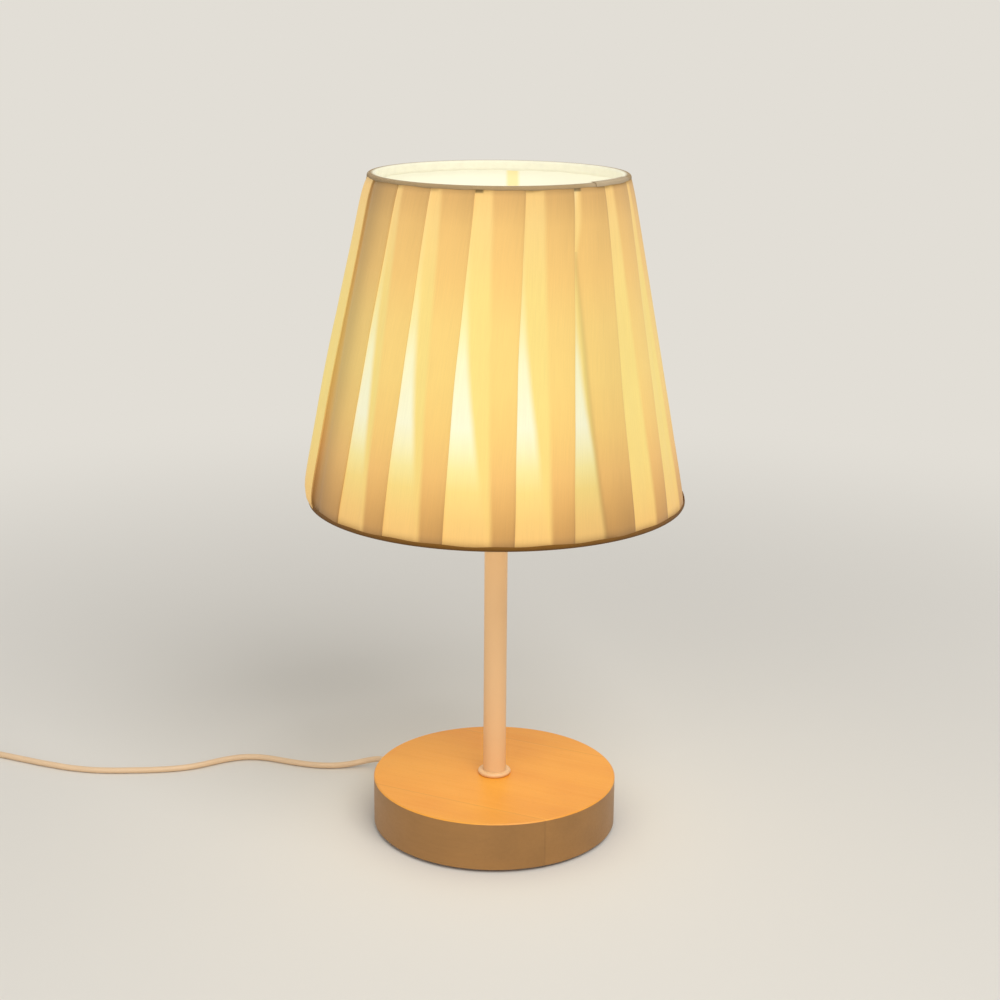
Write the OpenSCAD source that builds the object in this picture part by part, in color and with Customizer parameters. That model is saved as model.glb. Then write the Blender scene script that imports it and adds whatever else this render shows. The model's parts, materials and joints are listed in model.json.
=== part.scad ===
// Small wooden table lamp: round base, thin pole, pleated fabric shade on a screw-base bulb holder.
// Millimetres, +Z up, origin at the middle of the base's underside on the table.
// -Y is the side that faces the viewer.

/* [Base] */
// Diameter of the wooden base disc
base_d = 133; // [110:1:170]
// Thickness of the wooden base disc
base_h = 26.5; // [24:0.5:40]
// Width of the small bevel on the base's edges
base_bevel = 0.6; // [0.2:0.1:2]
// Diameter of the foam pad under the base
pad_d = 126; // [60:1:128]
// Thickness of the foam pad under the base
pad_t = 1.5; // [1:0.5:4]
// Diameter of the pocket in the base's underside
pocket_d = 34; // [30:1:60]
// Depth of the pocket in the base's underside
pocket_depth = 19; // [18.5:0.5:20.5]
// Height of the cord hole above the base's lower face
cord_hole_rise = 5.5; // [5:0.25:6]

/* [Pole] */
// Outer diameter of the pole
pole_d = 12.4; // [11.6:0.1:15]
// Length of the pole from the base to the bulb holder
pole_len = 132; // [90:1:220]
// Outer diameter of the threaded tube inside the pole
tube_d = 10; // [9:0.1:10.4]
// Bore of the threaded tube
tube_bore = 7; // [5.5:0.1:8]
// Depth that the threaded tube reaches into the holder's cap
tube_seat = 8; // [6:0.5:9]
// Diameter of the ring at the foot of the pole
collar_d = 18; // [17:0.5:24]
// Height of the ring at the foot of the pole
collar_h = 2.5; // [1.5:0.1:5]
// Width over the flats of the base nut
nut_flats = 14; // [13:0.5:17]
// Thickness of the base nut
nut_t = 4; // [3:0.5:5]
// Diameter of the base washer
washer_d = 26; // [20:1:28]
// Thickness of the base washer
washer_t = 1.5; // [1:0.25:2]

/* [Bulb holder] */
// Diameter of the cap's neck on the pole
neck_d = 16; // [15.5:0.5:18]
// Height of the cap's neck
neck_h = 5; // [5:0.5:8]
// Outer diameter of the holder's cap
cap_d = 37.6; // [36:0.2:42]
// Height of the holder's cap
cap_h = 18; // [16:0.5:24]
// Wall of the holder's cap and sleeve
holder_wall = 2; // [1.6:0.1:2.4]
// Height of the plain part of the sleeve below its flange
sleeve_plain = 5.5; // [4:0.5:8]
// Diameter of the sleeve's flange, which carries the shade
flange_d = 44; // [42:0.5:50]
// Thickness of the sleeve's flange
flange_t = 2; // [1.5:0.1:3]
// Outer diameter of the sleeve's threaded part
thread_d = 39.2; // [36:0.1:39.4]
// Height of the sleeve's threaded part
thread_h = 18.5; // [17:0.5:20]
// Bore of the brass screw shell
shell_bore = 26.9; // [26.7:0.1:27.2]
// Wall of the brass screw shell
shell_wall = 0.5; // [0.4:0.1:0.8]
// Outer diameter of the ring that clamps the shade
ring_d = 48; // [46:0.5:54]
// Height of the ring that clamps the shade
ring_h = 7.5; // [5:0.5:8]

/* [Bulb] */
// Diameter of the bulb's globe
globe_d = 45; // [40:0.5:48]
// Length of the bulb over all
bulb_len = 70; // [66:0.5:78]
// Outer diameter of the bulb's screw cap
screw_d = 26.2; // [25.8:0.1:26.3]
// Length of the bulb's screw cap above its glass insulator
screw_len = 17; // [14:0.5:17.5]

/* [Shade] */
// Diameter of the shade over its lower rim
shade_bottom_d = 200; // [170:1:240]
// Diameter of the shade over its upper rim
shade_top_d = 134; // [118:1:160]
// Height of the shade
shade_h = 171; // [130:1:210]
// Height of the shade's lower rim above the holder's flange
shade_lift = 0.5; // [0.5:0.5:4]
// Number of pleats round the shade
pleats = 19; // [12:1:24]
// Turn of the first fold from the viewer's side, in degrees
fold_turn = 5; // [-10:0.5:10]
// Turn from the foot of a fold to its top, in degrees
fold_lean = 5.5; // [0:0.5:8]
// Width of the threefold strip beside a fold at the lower rim
overlap_bottom = 11.5; // [8:0.5:16]
// Width of the threefold strip beside a fold at the upper rim
overlap_top = 16; // [8:0.5:16]
// Thickness of one layer of fabric with its slack
layer_t = 0.4; // [0.4:0.1:0.6]
// Height of a fold above the lining
pleat_depth = 1; // [1:0.1:2.5]
// Thickness of the lining
lining_t = 0.4; // [0.4:0.1:1]
// Width over which the lining's two ends overlap
seam_w = 8; // [6:1:16]
// Diameter of the wire rings
wire_d = 2; // [1.8:0.1:3.5]
// Thickness of the rims' fabric tape
tape_t = 0.4; // [0.4:0.1:0.8]
// Height of the rims' fabric tape on the outside
tape_h = 1.6; // [1.4:0.1:8]
// Diameter of the three arms
arm_d = 2.4; // [2:0.1:3.2]
// Outer diameter of the fitter ring
fitter_d = 49; // [46:0.5:56]
// Thickness of the fitter ring
fitter_t = 1.6; // [1.2:0.1:2.5]

/* [Cord] */
// Diameter of the cord
cord_d = 3.5; // [3:0.1:3.9]
// Direction in which the cord leaves the base, in degrees from +X
cord_turn = 135; // [125:1:145]
// Length of the strain relief outside the base
relief_out = 20; // [18:1:22]
// Length of the strain relief inside the base
relief_in = 12; // [8:1:20]
// Diameter of the strain relief's flange
relief_flange_d = 10; // [9:0.5:11]
// Thickness of the strain relief's flange
relief_flange_t = 1.6; // [1:0.1:2.5]
// Outer radius of the cord's coil at the middle of the cord
coil_r = 26; // [24:0.5:28]
// Turns in the cord's coil
coil_turns = 10.25; // [8.25:1:11.25]

/* [Inline switch] */
// Length of the switch's housing
switch_l = 58; // [54:1:70]
// Width of the switch's housing
switch_w = 24; // [22:1:28]
// Height of the switch's housing
switch_h = 16; // [15.5:0.5:18]
// Length of the rocker
rocker_l = 20; // [18:0.5:22]
// Width of the rocker
rocker_w = 10; // [8:0.5:11]
// Tilt of the rocker to each side, in degrees
rocker_tilt = 8; // [5:0.5:9]

/* [Plug] */
// Length of the plug's body without its pins
plug_l = 36; // [33:1:40]
// Width of the plug's body
plug_w = 26; // [25:0.5:28]
// Thickness of the plug's body
plug_t = 13.6; // [12:0.2:14]
// Length of the plug's pins
pin_l = 19; // [18:0.5:20]
// Diameter of the plug's pins
pin_d = 4; // [3.8:0.1:4.8]
// Distance between the plug's pins
pin_gap = 18.4; // [17.5:0.1:18.6]

/* [Hidden] */

$fn = 64;

// Clearance between pieces that only have to clear each other
clear = 0.2;
// Clearance between pieces that seat on each other
seat = 0.1;
// Clearance between faces of pieces that move on each other
run = 0.3;
// Small overshoot of a cutting shape
over = 1;

// Room between a free cord's underside and the table
lay_gap = 0.05;

// Heights of the stand, worked out upwards from the table
base_z = pad_t;
base_top = base_z + base_h;
pole_top = base_top + pole_len;
pocket_top = base_z + pocket_depth;
washer_z = pocket_top - washer_t;
nut_z = washer_z - nut_t;
tube_z = nut_z - 2;
tube_top = pole_top + tube_seat;
cord_z = base_z + cord_hole_rise;
cord_bend = 7.5;
inner_top = tube_top + 1;
relief_stem_d = cord_d + 2.6;
relief_root_d = relief_stem_d + 1;
relief_tip_d = cord_d + 1.4;
relief_groove_d = relief_tip_d - 0.2;
relief_ribs = 4;
core_d = 1.5;
core_y = 0.85;

// Heights of the bulb holder
cap_top = pole_top + cap_h;
flange_z = cap_top + sleeve_plain;
flange_top = flange_z + flange_t;
mouth_z = flange_top + thread_h;
block_r = cap_d / 2 - holder_wall - 1.6;
block_z = cap_top - 5.5;
block_t = 6;
block_top = block_z + block_t;
block_screw_x = 9;
block_screw_d = 3;
block_screw_sink = 0.4;
block_screw_floor = 2;
contact_rise = 2;
contact_top = block_top + contact_rise;
contact_t = 0.5;
contact_w = 3;
shell_r = shell_bore / 2 + shell_wall;
shell_z = block_top + seat;
shell_waves = 5;
shell_wave_deep = 0.2;
sleeve_lip = 3;
thread_rings = 6;
thread_deep = 0.6;
ring_ribs = 24;
rib_d = 2.4;
rib_base = 2;
grub_d = 3;
grub_key = 1.6;
grub_z = pole_top + 2.6;

// Heights of the bulb
bulb_z = contact_top + seat;
bulb_top = bulb_z + bulb_len;
globe_z = bulb_top - globe_d / 2;
insulator_z = bulb_z + 1.6;
screw_z = insulator_z + 4;
screw_top = screw_z + screw_len;
body_z = mouth_z + 1;
globe_seat_z = globe_z - globe_d * 0.27;
globe_seat_r = sqrt(pow(globe_d / 2, 2) - pow(globe_z - globe_seat_z, 2));
globe_wall = 1.2;
body_wall = 1.4;
board_t = 1.2;
led_side = 2.8;
led_t = 0.7;
leds = 6;
driver_w = 16;
driver_t = 1.6;
cap_wall = 0.4;
cap_rings = 5;
cap_groove_deep = 0.25;
cap_floor_w = 3;

// Heights and slopes of the shade
fitter_z = flange_top + seat;
fitter_top = fitter_z + fitter_t;
clamp_z = fitter_top + seat;
rim_z = flange_top + shade_lift;
rim_top = rim_z + shade_h;
shade_slope = (shade_bottom_d - shade_top_d) / 2 / shade_h;
fold_inset = tape_t + seat;
lining_inset = fold_inset + pleat_depth + clear;
wire_inset = lining_inset + lining_t + seat + wire_d / 2;
tape_w = wire_inset + wire_d / 2 + seat + tape_t;
shell_low = rim_z + tape_t + seat;
shell_high = rim_top - tape_t - seat;
bottom_wire_z = shell_low + wire_d / 2;
top_wire_z = shell_high - wire_d / 2;
pleat_step = 360 / pleats;
seam_from = 81;
seam_turn = seam_w / shade_r(rim_z + shade_h / 2) * 180 / PI;
tape_corner = 1;
fabric_strips = 4;
tuck = 0.012;
rise_share = 0.06;
// Handmade unevenness of the folds at their feet and tops, in degrees, from the viewer's side
// towards the right
foot_drift = [
  0.8, -0.7, -0.7, -2.5, -1, 0.5, 1, 0, -0.5, 1, 0.5, -1, 0, 0.5, -0.5, -0.4, -0.8, -0.9, -0.9
];
top_drift = [
  0.3, 2.6, 1.1, 1.4, 0.5, -0.5, 1, 0.5, -1, 0, 1, -0.5, 0, 1, 0.5, -2, 0.7, -1.5, -1
];

// Places of the pieces on the cord
switch_at = [-369, 88];
switch_cord_z = 7;
coil_at = [-440, 62];
plug_cord_y = 21;
plug_z = plug_t / 2 + clear;
boot_l = 2;
cord_r = cord_d / 2;
coil_step = cord_d + 0.6;
coil_layers = 4;
coil_rings = 24;
lay_z = cord_r + lay_gap;

// Inside the inline switch
split_z = switch_cord_z;
housing_wall = 1.8;
cavity_l = switch_l - 24;
cavity_w = switch_w - 2 * housing_wall - 2;
cavity_floor = housing_wall + seat;
window_gap = 0.5;
window_l = rocker_l + 2 * window_gap + clear;
window_w = rocker_w + 2 * window_gap;
pivot_z = switch_h - 3.6;
pivot_d = 2.4;
pivot_reach = 1.6;
lug_w = 6;
lug_t = 2.2;
lug_drop = 2.6;
housing_screw_at = [switch_l / 2 - 9, switch_w / 2 - 5];
housing_screw_d = 2.6;
housing_screw_head_d = 4.6;
housing_screw_head_t = 1.6;
housing_screw_bite = 3.4;
housing_screw_sink = 0.5;
nose_r = 2.4;
nose_drop = 4.8;
nose_roof = 1.4;
spring_d = 2.8;
spring_wall = 0.45;
plunger_l = 2.4;
bar_l = 17;
bar_w = 4;
bar_t = 0.8;
bar_tilt = 5;
bar_pivot_z = 5.2;
bar_rib_d = 1;
stud_d = 2.6;
stud_t = 0.6;
stud_x = bar_l / 2 - 1.6;
stud_low_z = bar_pivot_z - (stud_x + stud_d / 2) * sin(bar_tilt) - stud_t * cos(bar_tilt);
plunger_drop = pivot_z - bar_pivot_z - bar_t - run;
terminal_gap = 1.1;
terminal_l = 4.6;
terminal_w = 5;
terminal_h = 5.4;
terminal_x = bar_l / 2 + terminal_gap + terminal_l / 2;
strip_t = 1;
stub_x = cavity_l / 2 - 0.5;
stub_core_z = switch_cord_z - 0.5;
// Half of the neutral core's way round the terminals, from the cord's end to the switch's side
neutral_way = [
  [0, core_y, 0], [-0.5, core_y, 0], [-1, 1.6, 0], [-1.6, 3.9, -0.3], [-3.5, 6.2, -1.1], [-6.5, 6.6, -1.5]
];

// Details of the plug
plug_boot_l = 9;
plug_boot_d = cord_d + 3.5;
plug_mouth_d = cord_d + 1.5;
plug_shoulder_l = 12;
pin_root = 12;
pin_core_d = pin_d - 1.2;
pin_sleeve_d = pin_d - 0.2;
pin_sleeve_l = 9.5;
pin_tip = 9.3;

// The cord's route where it lies free, as round numbers chosen by hand
lead_route = [
  [-68, 67, 6.3], [-73.5, 69, 4.9], [-80, 69, 3.4], [-87, 68.2, 2.3], [-95, 67.5, 1.8],
  [-103, 67.5, 1.8], [-111, 69, 1.8], [-119, 71.5, 1.8], [-127, 74.5, 1.8], [-135, 77.5, 1.8],
  [-143, 79, 1.8], [-151, 78.5, 1.8], [-159, 75.5, 1.8], [-166, 71.5, 1.8], [-173, 67, 1.8],
  [-180, 63.5, 1.8], [-188, 61, 1.8], [-196, 59.5, 1.8], [-204, 58.5, 1.8], [-212, 58, 1.8],
  [-220, 57.5, 1.8], [-228, 57.5, 1.8], [-236, 58, 1.8], [-244, 59.5, 1.8], [-252, 61.5, 1.8],
  [-260, 64.5, 1.8], [-268, 67.5, 1.8], [-276, 71, 1.8], [-284, 74.5, 1.8], [-292, 78, 1.8],
  [-300, 81.5, 1.8], [-308, 84.5, 2.3], [-316, 86.5, 3.7], [-324, 87.7, 5.7]
];
link_route = [[-411, 88, 6.2], [-418, 88, 4.4], [-425, 88, 2.7], [-430, 88, 2]];
tail_route = [[-466, 51, 13.2], [-466, 43, 11], [-466, 35, 8.6], [-466, 29, 7.3]];

// Vector helpers
function unit(v) = v / norm(v);
function mix(a, b, t) = a + (b - a) * t;
function polar(r, a, z) = [r * cos(a), r * sin(a), z];

// Radius of the shade's fold edges at height z, less an inset
function shade_r(z, inset = 0) = shade_bottom_d / 2 - shade_slope * (z - rim_z) - inset;

// Tube along points: a ring of sides at each point, closed by a fan at each end
function tangent(route, i) =
  unit(route[min(i + 1, len(route) - 1)] - route[max(i - 1, 0)]);
function ring_points(at, along, r, sides, upright) =
  let (
    across = unit(cross(upright, along)),
    up = cross(along, across)
  )
  [for (k = [0:sides - 1]) at + r * (across * cos(k * 360 / sides) + up * sin(k * 360 / sides))];
function tube_points(route, r, sides, upright) =
  [for (i = [0:len(route) - 1]) each ring_points(route[i], tangent(route, i), r, sides, upright)];
function wall_faces(rings, sides) = [
  for (i = [0:rings - 2])
    for (k = [0:sides - 1])
      let (
        a = i * sides + k,
        b = i * sides + (k + 1) % sides
      )
      each [[a, a + sides, b], [b, a + sides, b + sides]]
];
function end_faces(rings, sides) = [
  for (k = [1:sides - 2])
    each [[0, k, k + 1], [(rings - 1) * sides, (rings - 1) * sides + k + 1, (rings - 1) * sides + k]]
];

module swept_tube(route, r, sides, upright = [0, 0, 1]) {
  polyhedron(
    points = tube_points(route, r, sides, upright),
    faces = concat(wall_faces(len(route), sides), end_faces(len(route), sides))
  );
}

module cord_tube(route, sides) {
  color("ivory")
    swept_tube(route, cord_r, sides);
}

// Ends of the free cord's stretches, where they meet the pieces that hold them
relief_end_r = base_d / 2 + relief_out;
lead_start = polar(relief_end_r, cord_turn, cord_z);
lead_straight = polar(relief_end_r + 4, cord_turn, cord_z);
switch_half = switch_l / 2 + boot_l;
lead_end = [switch_at.x + switch_half, switch_at.y, switch_cord_z];
link_start = [switch_at.x - switch_half, switch_at.y, switch_cord_z];
coil_start = [coil_at.x + cord_d, coil_at.y + coil_r, lay_z];
coil_end_angle = 90 + 360 * coil_turns;
coil_top_z = lay_z + (coil_layers - 1) * coil_step;
coil_end = polar(coil_r, coil_end_angle, coil_top_z) + [coil_at.x, coil_at.y, 0];
coil_out = coil_end + cord_d * [-sin(coil_end_angle), cos(coil_end_angle), 0];
plug_start = [coil_end.x, plug_cord_y, plug_z];

lead_points = concat(
  [lead_start, lead_straight], lead_route,
  [lead_end + [4, 0, 0], lead_end]
);
link_points = concat(
  [link_start, link_start - [4, 0, 0]], link_route,
  [coil_start + [2, 0, 0], coil_start]
);
tail_points = concat([coil_out, coil_out - [0, 2, 0]], tail_route, [plug_start + [0, 4, 0], plug_start]);

// Coil: the turns run in and out at a steady rate, and climb a layer over the half turn at each reversal
layer_turns = coil_turns / coil_layers;
function coil_swing(t) =
  let (share = t / layer_turns, layer = min(floor(share), coil_layers - 1), part = share - layer)
  layer % 2 == 0 ? part : 1 - part;
function climb(t) =
  let (k = max(1, min(coil_layers - 1, round(t / layer_turns))), from = k * layer_turns - 0.25)
  k - 1 + (1 - cos(180 * max(0, min(1, (t - from) / 0.5)))) / 2;
function coil_point(t) =
  let (r = coil_r - coil_swing(t) * layer_turns * coil_step)
  polar(r, 90 + 360 * t, lay_z + climb(t) * coil_step) + [coil_at.x, coil_at.y, 0];
coil_route = concat(
  [coil_start],
  [for (i = [0:coil_turns * coil_rings]) coil_point(i / coil_rings)],
  [coil_out]
);
coil_skip = coil_rings / 2;
coil_gap = min([
  for (i = [0:len(coil_route) - 1 - coil_skip])
    min([for (j = [i + coil_skip:len(coil_route) - 1]) norm(coil_route[i] - coil_route[j])])
]) - cord_d;

// The wooden base: a turned disc with a pocket below, a hole for the tube and a hole for the cord
module base_disc() {
  color("#E8B272")
    difference() {
      rotate_extrude()
        polygon([
          [0, base_z], [base_d / 2 - base_bevel, base_z], [base_d / 2, base_z + base_bevel],
          [base_d / 2, base_top - base_bevel], [base_d / 2 - base_bevel, base_top], [0, base_top]
        ]);
      translate([0, 0, base_z - over])
        cylinder(d = pocket_d, h = pocket_depth + over);
      translate([0, 0, base_z])
        cylinder(d = tube_d + 2 * clear, h = base_h + over);
      rotate([0, 0, cord_turn])
        translate([pocket_d / 2 - over, 0, cord_z])
          rotate([0, 90, 0])
            cylinder(d = relief_stem_d + 2 * clear, h = base_d);
    }
}

module base_pad() {
  color("#2B2725")
    cylinder(d = pad_d, h = pad_t);
}

module washer(inner, outer, z, t) {
  translate([0, 0, z])
    difference() {
      cylinder(d = outer, h = t);
      translate([0, 0, -over])
        cylinder(d = inner, h = t + 2 * over);
    }
}

module base_washer() {
  color("silver")
    washer(tube_d + 2 * clear, washer_d, washer_z, washer_t);
}

module base_nut() {
  color("silver")
    translate([0, 0, nut_z])
      difference() {
        cylinder(d = nut_flats / cos(30), h = nut_t, $fn = 6);
        translate([0, 0, -over])
          cylinder(d = tube_d + 2 * seat, h = nut_t + 2 * over);
      }
}

module threaded_tube() {
  color("gainsboro")
    washer(tube_bore, tube_d, tube_z, tube_top - tube_z);
}

// Ring at the pole's foot, with a rounded outer edge
module pole_collar() {
  edge = collar_h / 2;
  color("#F4EDE0")
    rotate_extrude()
      translate([0, base_top]) {
        translate([pole_d / 2 + seat, 0])
          square([collar_d / 2 - edge - pole_d / 2 - seat, collar_h]);
        intersection() {
          translate([collar_d / 2 - edge, edge])
            circle(r = edge);
          translate([collar_d / 2 - edge, 0])
            square([edge, collar_h]);
        }
      }
}

module pole() {
  color("#F4EDE0")
    washer(tube_d + 2 * clear, pole_d, base_top, pole_len);
}

// Strain relief: a stem in the base's hole, a flange on its side and a tail that tapers with ribs
module strain_relief() {
  side = base_d / 2;
  tail_l = relief_out - relief_flange_t;
  rib_step = tail_l / (relief_ribs + 0.5);
  groove = rib_step * 0.3;
  color("#EFE7D8")
    rotate([0, 0, cord_turn])
      translate([side, 0, cord_z])
        rotate([0, 90, 0])
          difference() {
            union() {
              translate([0, 0, -relief_in])
                cylinder(d = relief_stem_d, h = relief_in);
              cylinder(d = relief_flange_d, h = relief_flange_t);
              translate([0, 0, relief_flange_t])
                cylinder(d1 = relief_root_d, d2 = relief_tip_d, h = tail_l);
            }
            translate([0, 0, -relief_in - over])
              cylinder(d = cord_d + 2 * seat, h = relief_in + relief_out + 2 * over);
            for (i = [1:relief_ribs])
              washer(relief_groove_d, relief_flange_d, relief_flange_t + i * rib_step - groove, groove);
          }
}

// Cord inside the lamp: in through the strain relief, round a bend and up the tube to the holder
module inner_cord() {
  color("ivory")
    rotate([0, 0, cord_turn]) {
      translate([cord_bend, 0, cord_z])
        rotate([0, 90, 0])
          cylinder(d = cord_d, h = relief_end_r - cord_bend);
      translate([cord_bend, 0, cord_z + cord_bend])
        rotate([90, 0, 0])
          rotate([0, 0, 180])
            rotate_extrude(angle = 90)
              translate([cord_bend, 0])
                circle(d = cord_d);
      translate([0, 0, cord_z + cord_bend])
        cylinder(d = cord_d, h = inner_top - cord_z - cord_bend);
    }
}

// Two insulated cores from the cord's end to the contact block
module core(side, tone) {
  straight = 0.9;
  color(tone)
    swept_tube([
      [core_y * side, 0, inner_top], [core_y * side, 0, inner_top + straight],
      [block_screw_x * side, 0, block_z - straight], [block_screw_x * side, 0, block_z]
    ], core_d / 2, 8, [0, 1, 0]);
}

module live_core() {
  core(1, "#6B4226");
}

module neutral_core() {
  core(-1, "#3F6FA8");
}

// Cap of the bulb holder: a neck on the pole that widens to a cup
module holder_cap() {
  neck_r = neck_d / 2;
  bore_r = tube_d / 2 + seat;
  out_r = cap_d / 2;
  in_r = out_r - holder_wall;
  shoulder_z = pole_top + neck_h;
  floor_z = shoulder_z + holder_wall + 0.6;
  cup_z = shoulder_z + 5;
  color("#F6F2EA")
    difference() {
      rotate_extrude()
        polygon([
          [bore_r, pole_top], [neck_r, pole_top], [neck_r, shoulder_z],
          [out_r - 4, cup_z - 2.2], [out_r - 1, cup_z], [out_r, cup_z + 3], [out_r, cap_top],
          [in_r, cap_top], [in_r, cup_z + 3.4], [in_r - 3, cup_z + 0.6],
          [neck_r - holder_wall + 1, floor_z], [bore_r, floor_z]
        ]);
      translate([0, 0, grub_z])
        rotate([0, 90, 0])
          cylinder(d = grub_d + 2 * seat, h = cap_d);
    }
}

// Small headless screw that keeps the cap from turning on the tube
module cap_grub_screw() {
  depth = neck_d / 2 - tube_d / 2 - seat;
  color("dimgray")
    translate([tube_d / 2 + seat, 0, grub_z])
      rotate([0, 90, 0])
        difference() {
          cylinder(d = grub_d, h = depth - seat);
          translate([0, 0, depth - 1.2])
            cylinder(d = grub_key, h = over + 1, $fn = 6);
        }
}

// Insulating block that carries the contacts, with two clamp screws for the cores
module contact_block() {
  color("#E9E4D6")
    difference() {
      translate([0, 0, block_z])
        cylinder(r = block_r, h = block_t);
      for (side = [-1, 1])
        translate([side * block_screw_x, 0, block_z + block_screw_floor])
          cylinder(d = block_screw_d + 2 * seat, h = block_t);
    }
}

module block_screws() {
  foot = block_z + block_screw_floor + seat;
  head = block_top - block_screw_sink;
  color("goldenrod")
    for (side = [-1, 1])
      translate([side * block_screw_x, 0, 0])
        difference() {
          translate([0, 0, foot])
            cylinder(d = block_screw_d, h = head - foot);
          translate([0, 0, head])
            cube([block_screw_d + over, block_screw_d / 5, block_screw_d / 2], center = true);
        }
}

// Brass screw shell of the holder, rolled into ring-shaped waves
module screw_shell() {
  height = mouth_z - 1.5 - shell_z;
  wave = height / (shell_waves + 1);
  color("#C9A24B")
    difference() {
      translate([0, 0, shell_z])
        cylinder(r = shell_r, h = height);
      translate([0, 0, shell_z - over])
        cylinder(d = shell_bore, h = height + 2 * over);
      for (i = [1:shell_waves])
        washer(2 * (shell_r - shell_wave_deep), 2 * shell_r + over, shell_z + i * wave, wave * 0.45);
    }
}

// Sprung brass tongue under the bulb's tip: a foot, a riser and a flat top
module centre_contact() {
  foot_l = 4;
  top_l = 5;
  riser_y = -2;
  color("#C9A24B")
    translate([-contact_w / 2, riser_y, block_top]) {
      translate([0, -foot_l, 0])
        cube([contact_w, foot_l, contact_t]);
      cube([contact_w, contact_t, contact_rise - contact_t]);
      translate([0, 0, contact_rise - contact_t])
        cube([contact_w, top_l, contact_t]);
    }
}

// Sleeve of the bulb holder: a lip in the cap, a plain part, a flange for the shade and a ringed thread
module holder_sleeve() {
  bore_r = shell_r + clear;
  lip_r = cap_d / 2 - holder_wall - seat;
  step = thread_h / (thread_rings + 1);
  color("#F6F2EA")
    difference() {
      union() {
        translate([0, 0, cap_top - sleeve_lip])
          cylinder(r = lip_r, h = sleeve_lip);
        translate([0, 0, cap_top])
          cylinder(d = cap_d, h = sleeve_plain);
        translate([0, 0, flange_z])
          cylinder(d = flange_d, h = flange_t);
        translate([0, 0, flange_top])
          cylinder(d = thread_d, h = thread_h);
      }
      translate([0, 0, cap_top - sleeve_lip - over])
        cylinder(r = block_r + seat, h = block_top + seat - cap_top + sleeve_lip + over);
      translate([0, 0, cap_top])
        cylinder(r = bore_r, h = mouth_z);
      for (i = [1:thread_rings])
        washer(thread_d - 2 * thread_deep, thread_d + over, flange_top + i * step, step * 0.4);
    }
}

// Ring that screws down on the shade's fitter, with grip ribs round its rim
module shade_ring() {
  color("#F6F2EA")
    translate([0, 0, clamp_z])
      difference() {
        cylinder(d = ring_d, h = ring_h);
        translate([0, 0, -over])
          cylinder(d = thread_d + 2 * run, h = ring_h + 2 * over);
        for (i = [0:ring_ribs - 1])
          rotate([0, 0, i * 360 / ring_ribs])
            translate([ring_d / 2 + rib_d / 4, 0, rib_base])
              cylinder(d = rib_d, h = ring_h, $fn = 24);
      }
}

// Bulb: an opal globe with a plastic body, a light board, a driver and a metal screw cap
module bulb_globe() {
  r = globe_d / 2;
  color("#FFF6DC")
    difference() {
      translate([0, 0, globe_z])
        sphere(r = r);
      translate([0, 0, globe_z])
        sphere(r = r - globe_wall);
      translate([0, 0, globe_seat_z - r])
        cube([globe_d + over, globe_d + over, 2 * r], center = true);
    }
}

module bulb_body() {
  low_r = screw_d / 2 + cap_wall;
  foot_z = body_z + body_wall;
  top_z = globe_seat_z - seat;
  color("#F3F0EA")
    rotate_extrude()
      polygon([
        [low_r - body_wall, body_z], [low_r, body_z], [low_r + 0.6, foot_z],
        [globe_seat_r, top_z], [globe_seat_r - body_wall - 0.8, top_z],
        [low_r - body_wall, foot_z]
      ]);
}

module bulb_led_board() {
  color("white")
    translate([0, 0, globe_seat_z + seat])
      difference() {
        union() {
          cylinder(r = globe_seat_r - globe_wall - 2 * clear, h = board_t);
          for (i = [0:leds - 1])
            rotate([0, 0, i * 360 / leds])
              translate([globe_seat_r / 2, 0, board_t + led_t / 2])
                cube([led_side, led_side, led_t], center = true);
        }
        translate([0, 0, -over])
          cylinder(d = 3, h = board_t + 2 * over);
      }
}

module bulb_driver() {
  foot = screw_z + 3;
  color("#3E7A4E")
    translate([-driver_w / 2, -driver_t / 2, foot])
      cube([driver_w, driver_t, globe_seat_z - foot]);
}

// Screw cap of the bulb, with its thread shown as rounded rings
module bulb_screw_cap() {
  r = screw_d / 2;
  in_r = r - cap_wall;
  step = screw_len / (cap_rings + 1);
  color("silver")
    difference() {
      rotate_extrude()
        polygon([
          [r - cap_floor_w, screw_z], [r - 1, screw_z], [r, screw_z + 1.4], [r, body_z - seat],
          [in_r, body_z - seat], [in_r, screw_z + 1.6], [r - cap_floor_w, screw_z + cap_wall]
        ]);
      for (i = [1:cap_rings])
        washer(screw_d - 2 * cap_groove_deep, screw_d + over, screw_z + i * step, step / 2);
    }
}

module bulb_insulator() {
  color("#26231F")
    translate([0, 0, insulator_z])
      cylinder(r1 = screw_d / 5, r2 = screw_d / 2 - cap_floor_w, h = screw_z - insulator_z);
}

module bulb_tip() {
  color("silver")
    translate([0, 0, bulb_z])
      cylinder(r1 = screw_d / 8, r2 = screw_d / 6, h = insulator_z - bulb_z);
}

// Shade frame: a flat ring on the holder, three arms and two wire rings
module fitter_ring() {
  color("#EDEAE2")
    washer(thread_d + 2 * run, fitter_d, fitter_z, fitter_t);
}

module spider_arm(turn) {
  inner_z = fitter_z + fitter_t / 2;
  inner_r = fitter_d / 2 + seat;
  run_r = shade_r(bottom_wire_z, wire_inset) - inner_r;
  rise = bottom_wire_z + wire_d / 2 + seat + arm_d / 2 - inner_z;
  color("#EDEAE2")
    rotate([0, 0, turn])
      translate([inner_r, 0, inner_z])
        rotate([0, 90 - atan2(rise, run_r), 0])
          cylinder(d = arm_d, h = norm([run_r, rise]));
}

module spider_arm_1() {
  spider_arm(90);
}

module spider_arm_2() {
  spider_arm(210);
}

module spider_arm_3() {
  spider_arm(330);
}

module wire_ring(z) {
  color("#EDEAE2")
    rotate_extrude()
      translate([shade_r(z, wire_inset), z])
        circle(d = wire_d);
}

module bottom_ring() {
  wire_ring(bottom_wire_z);
}

module top_ring() {
  wire_ring(top_wire_z);
}

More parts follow.
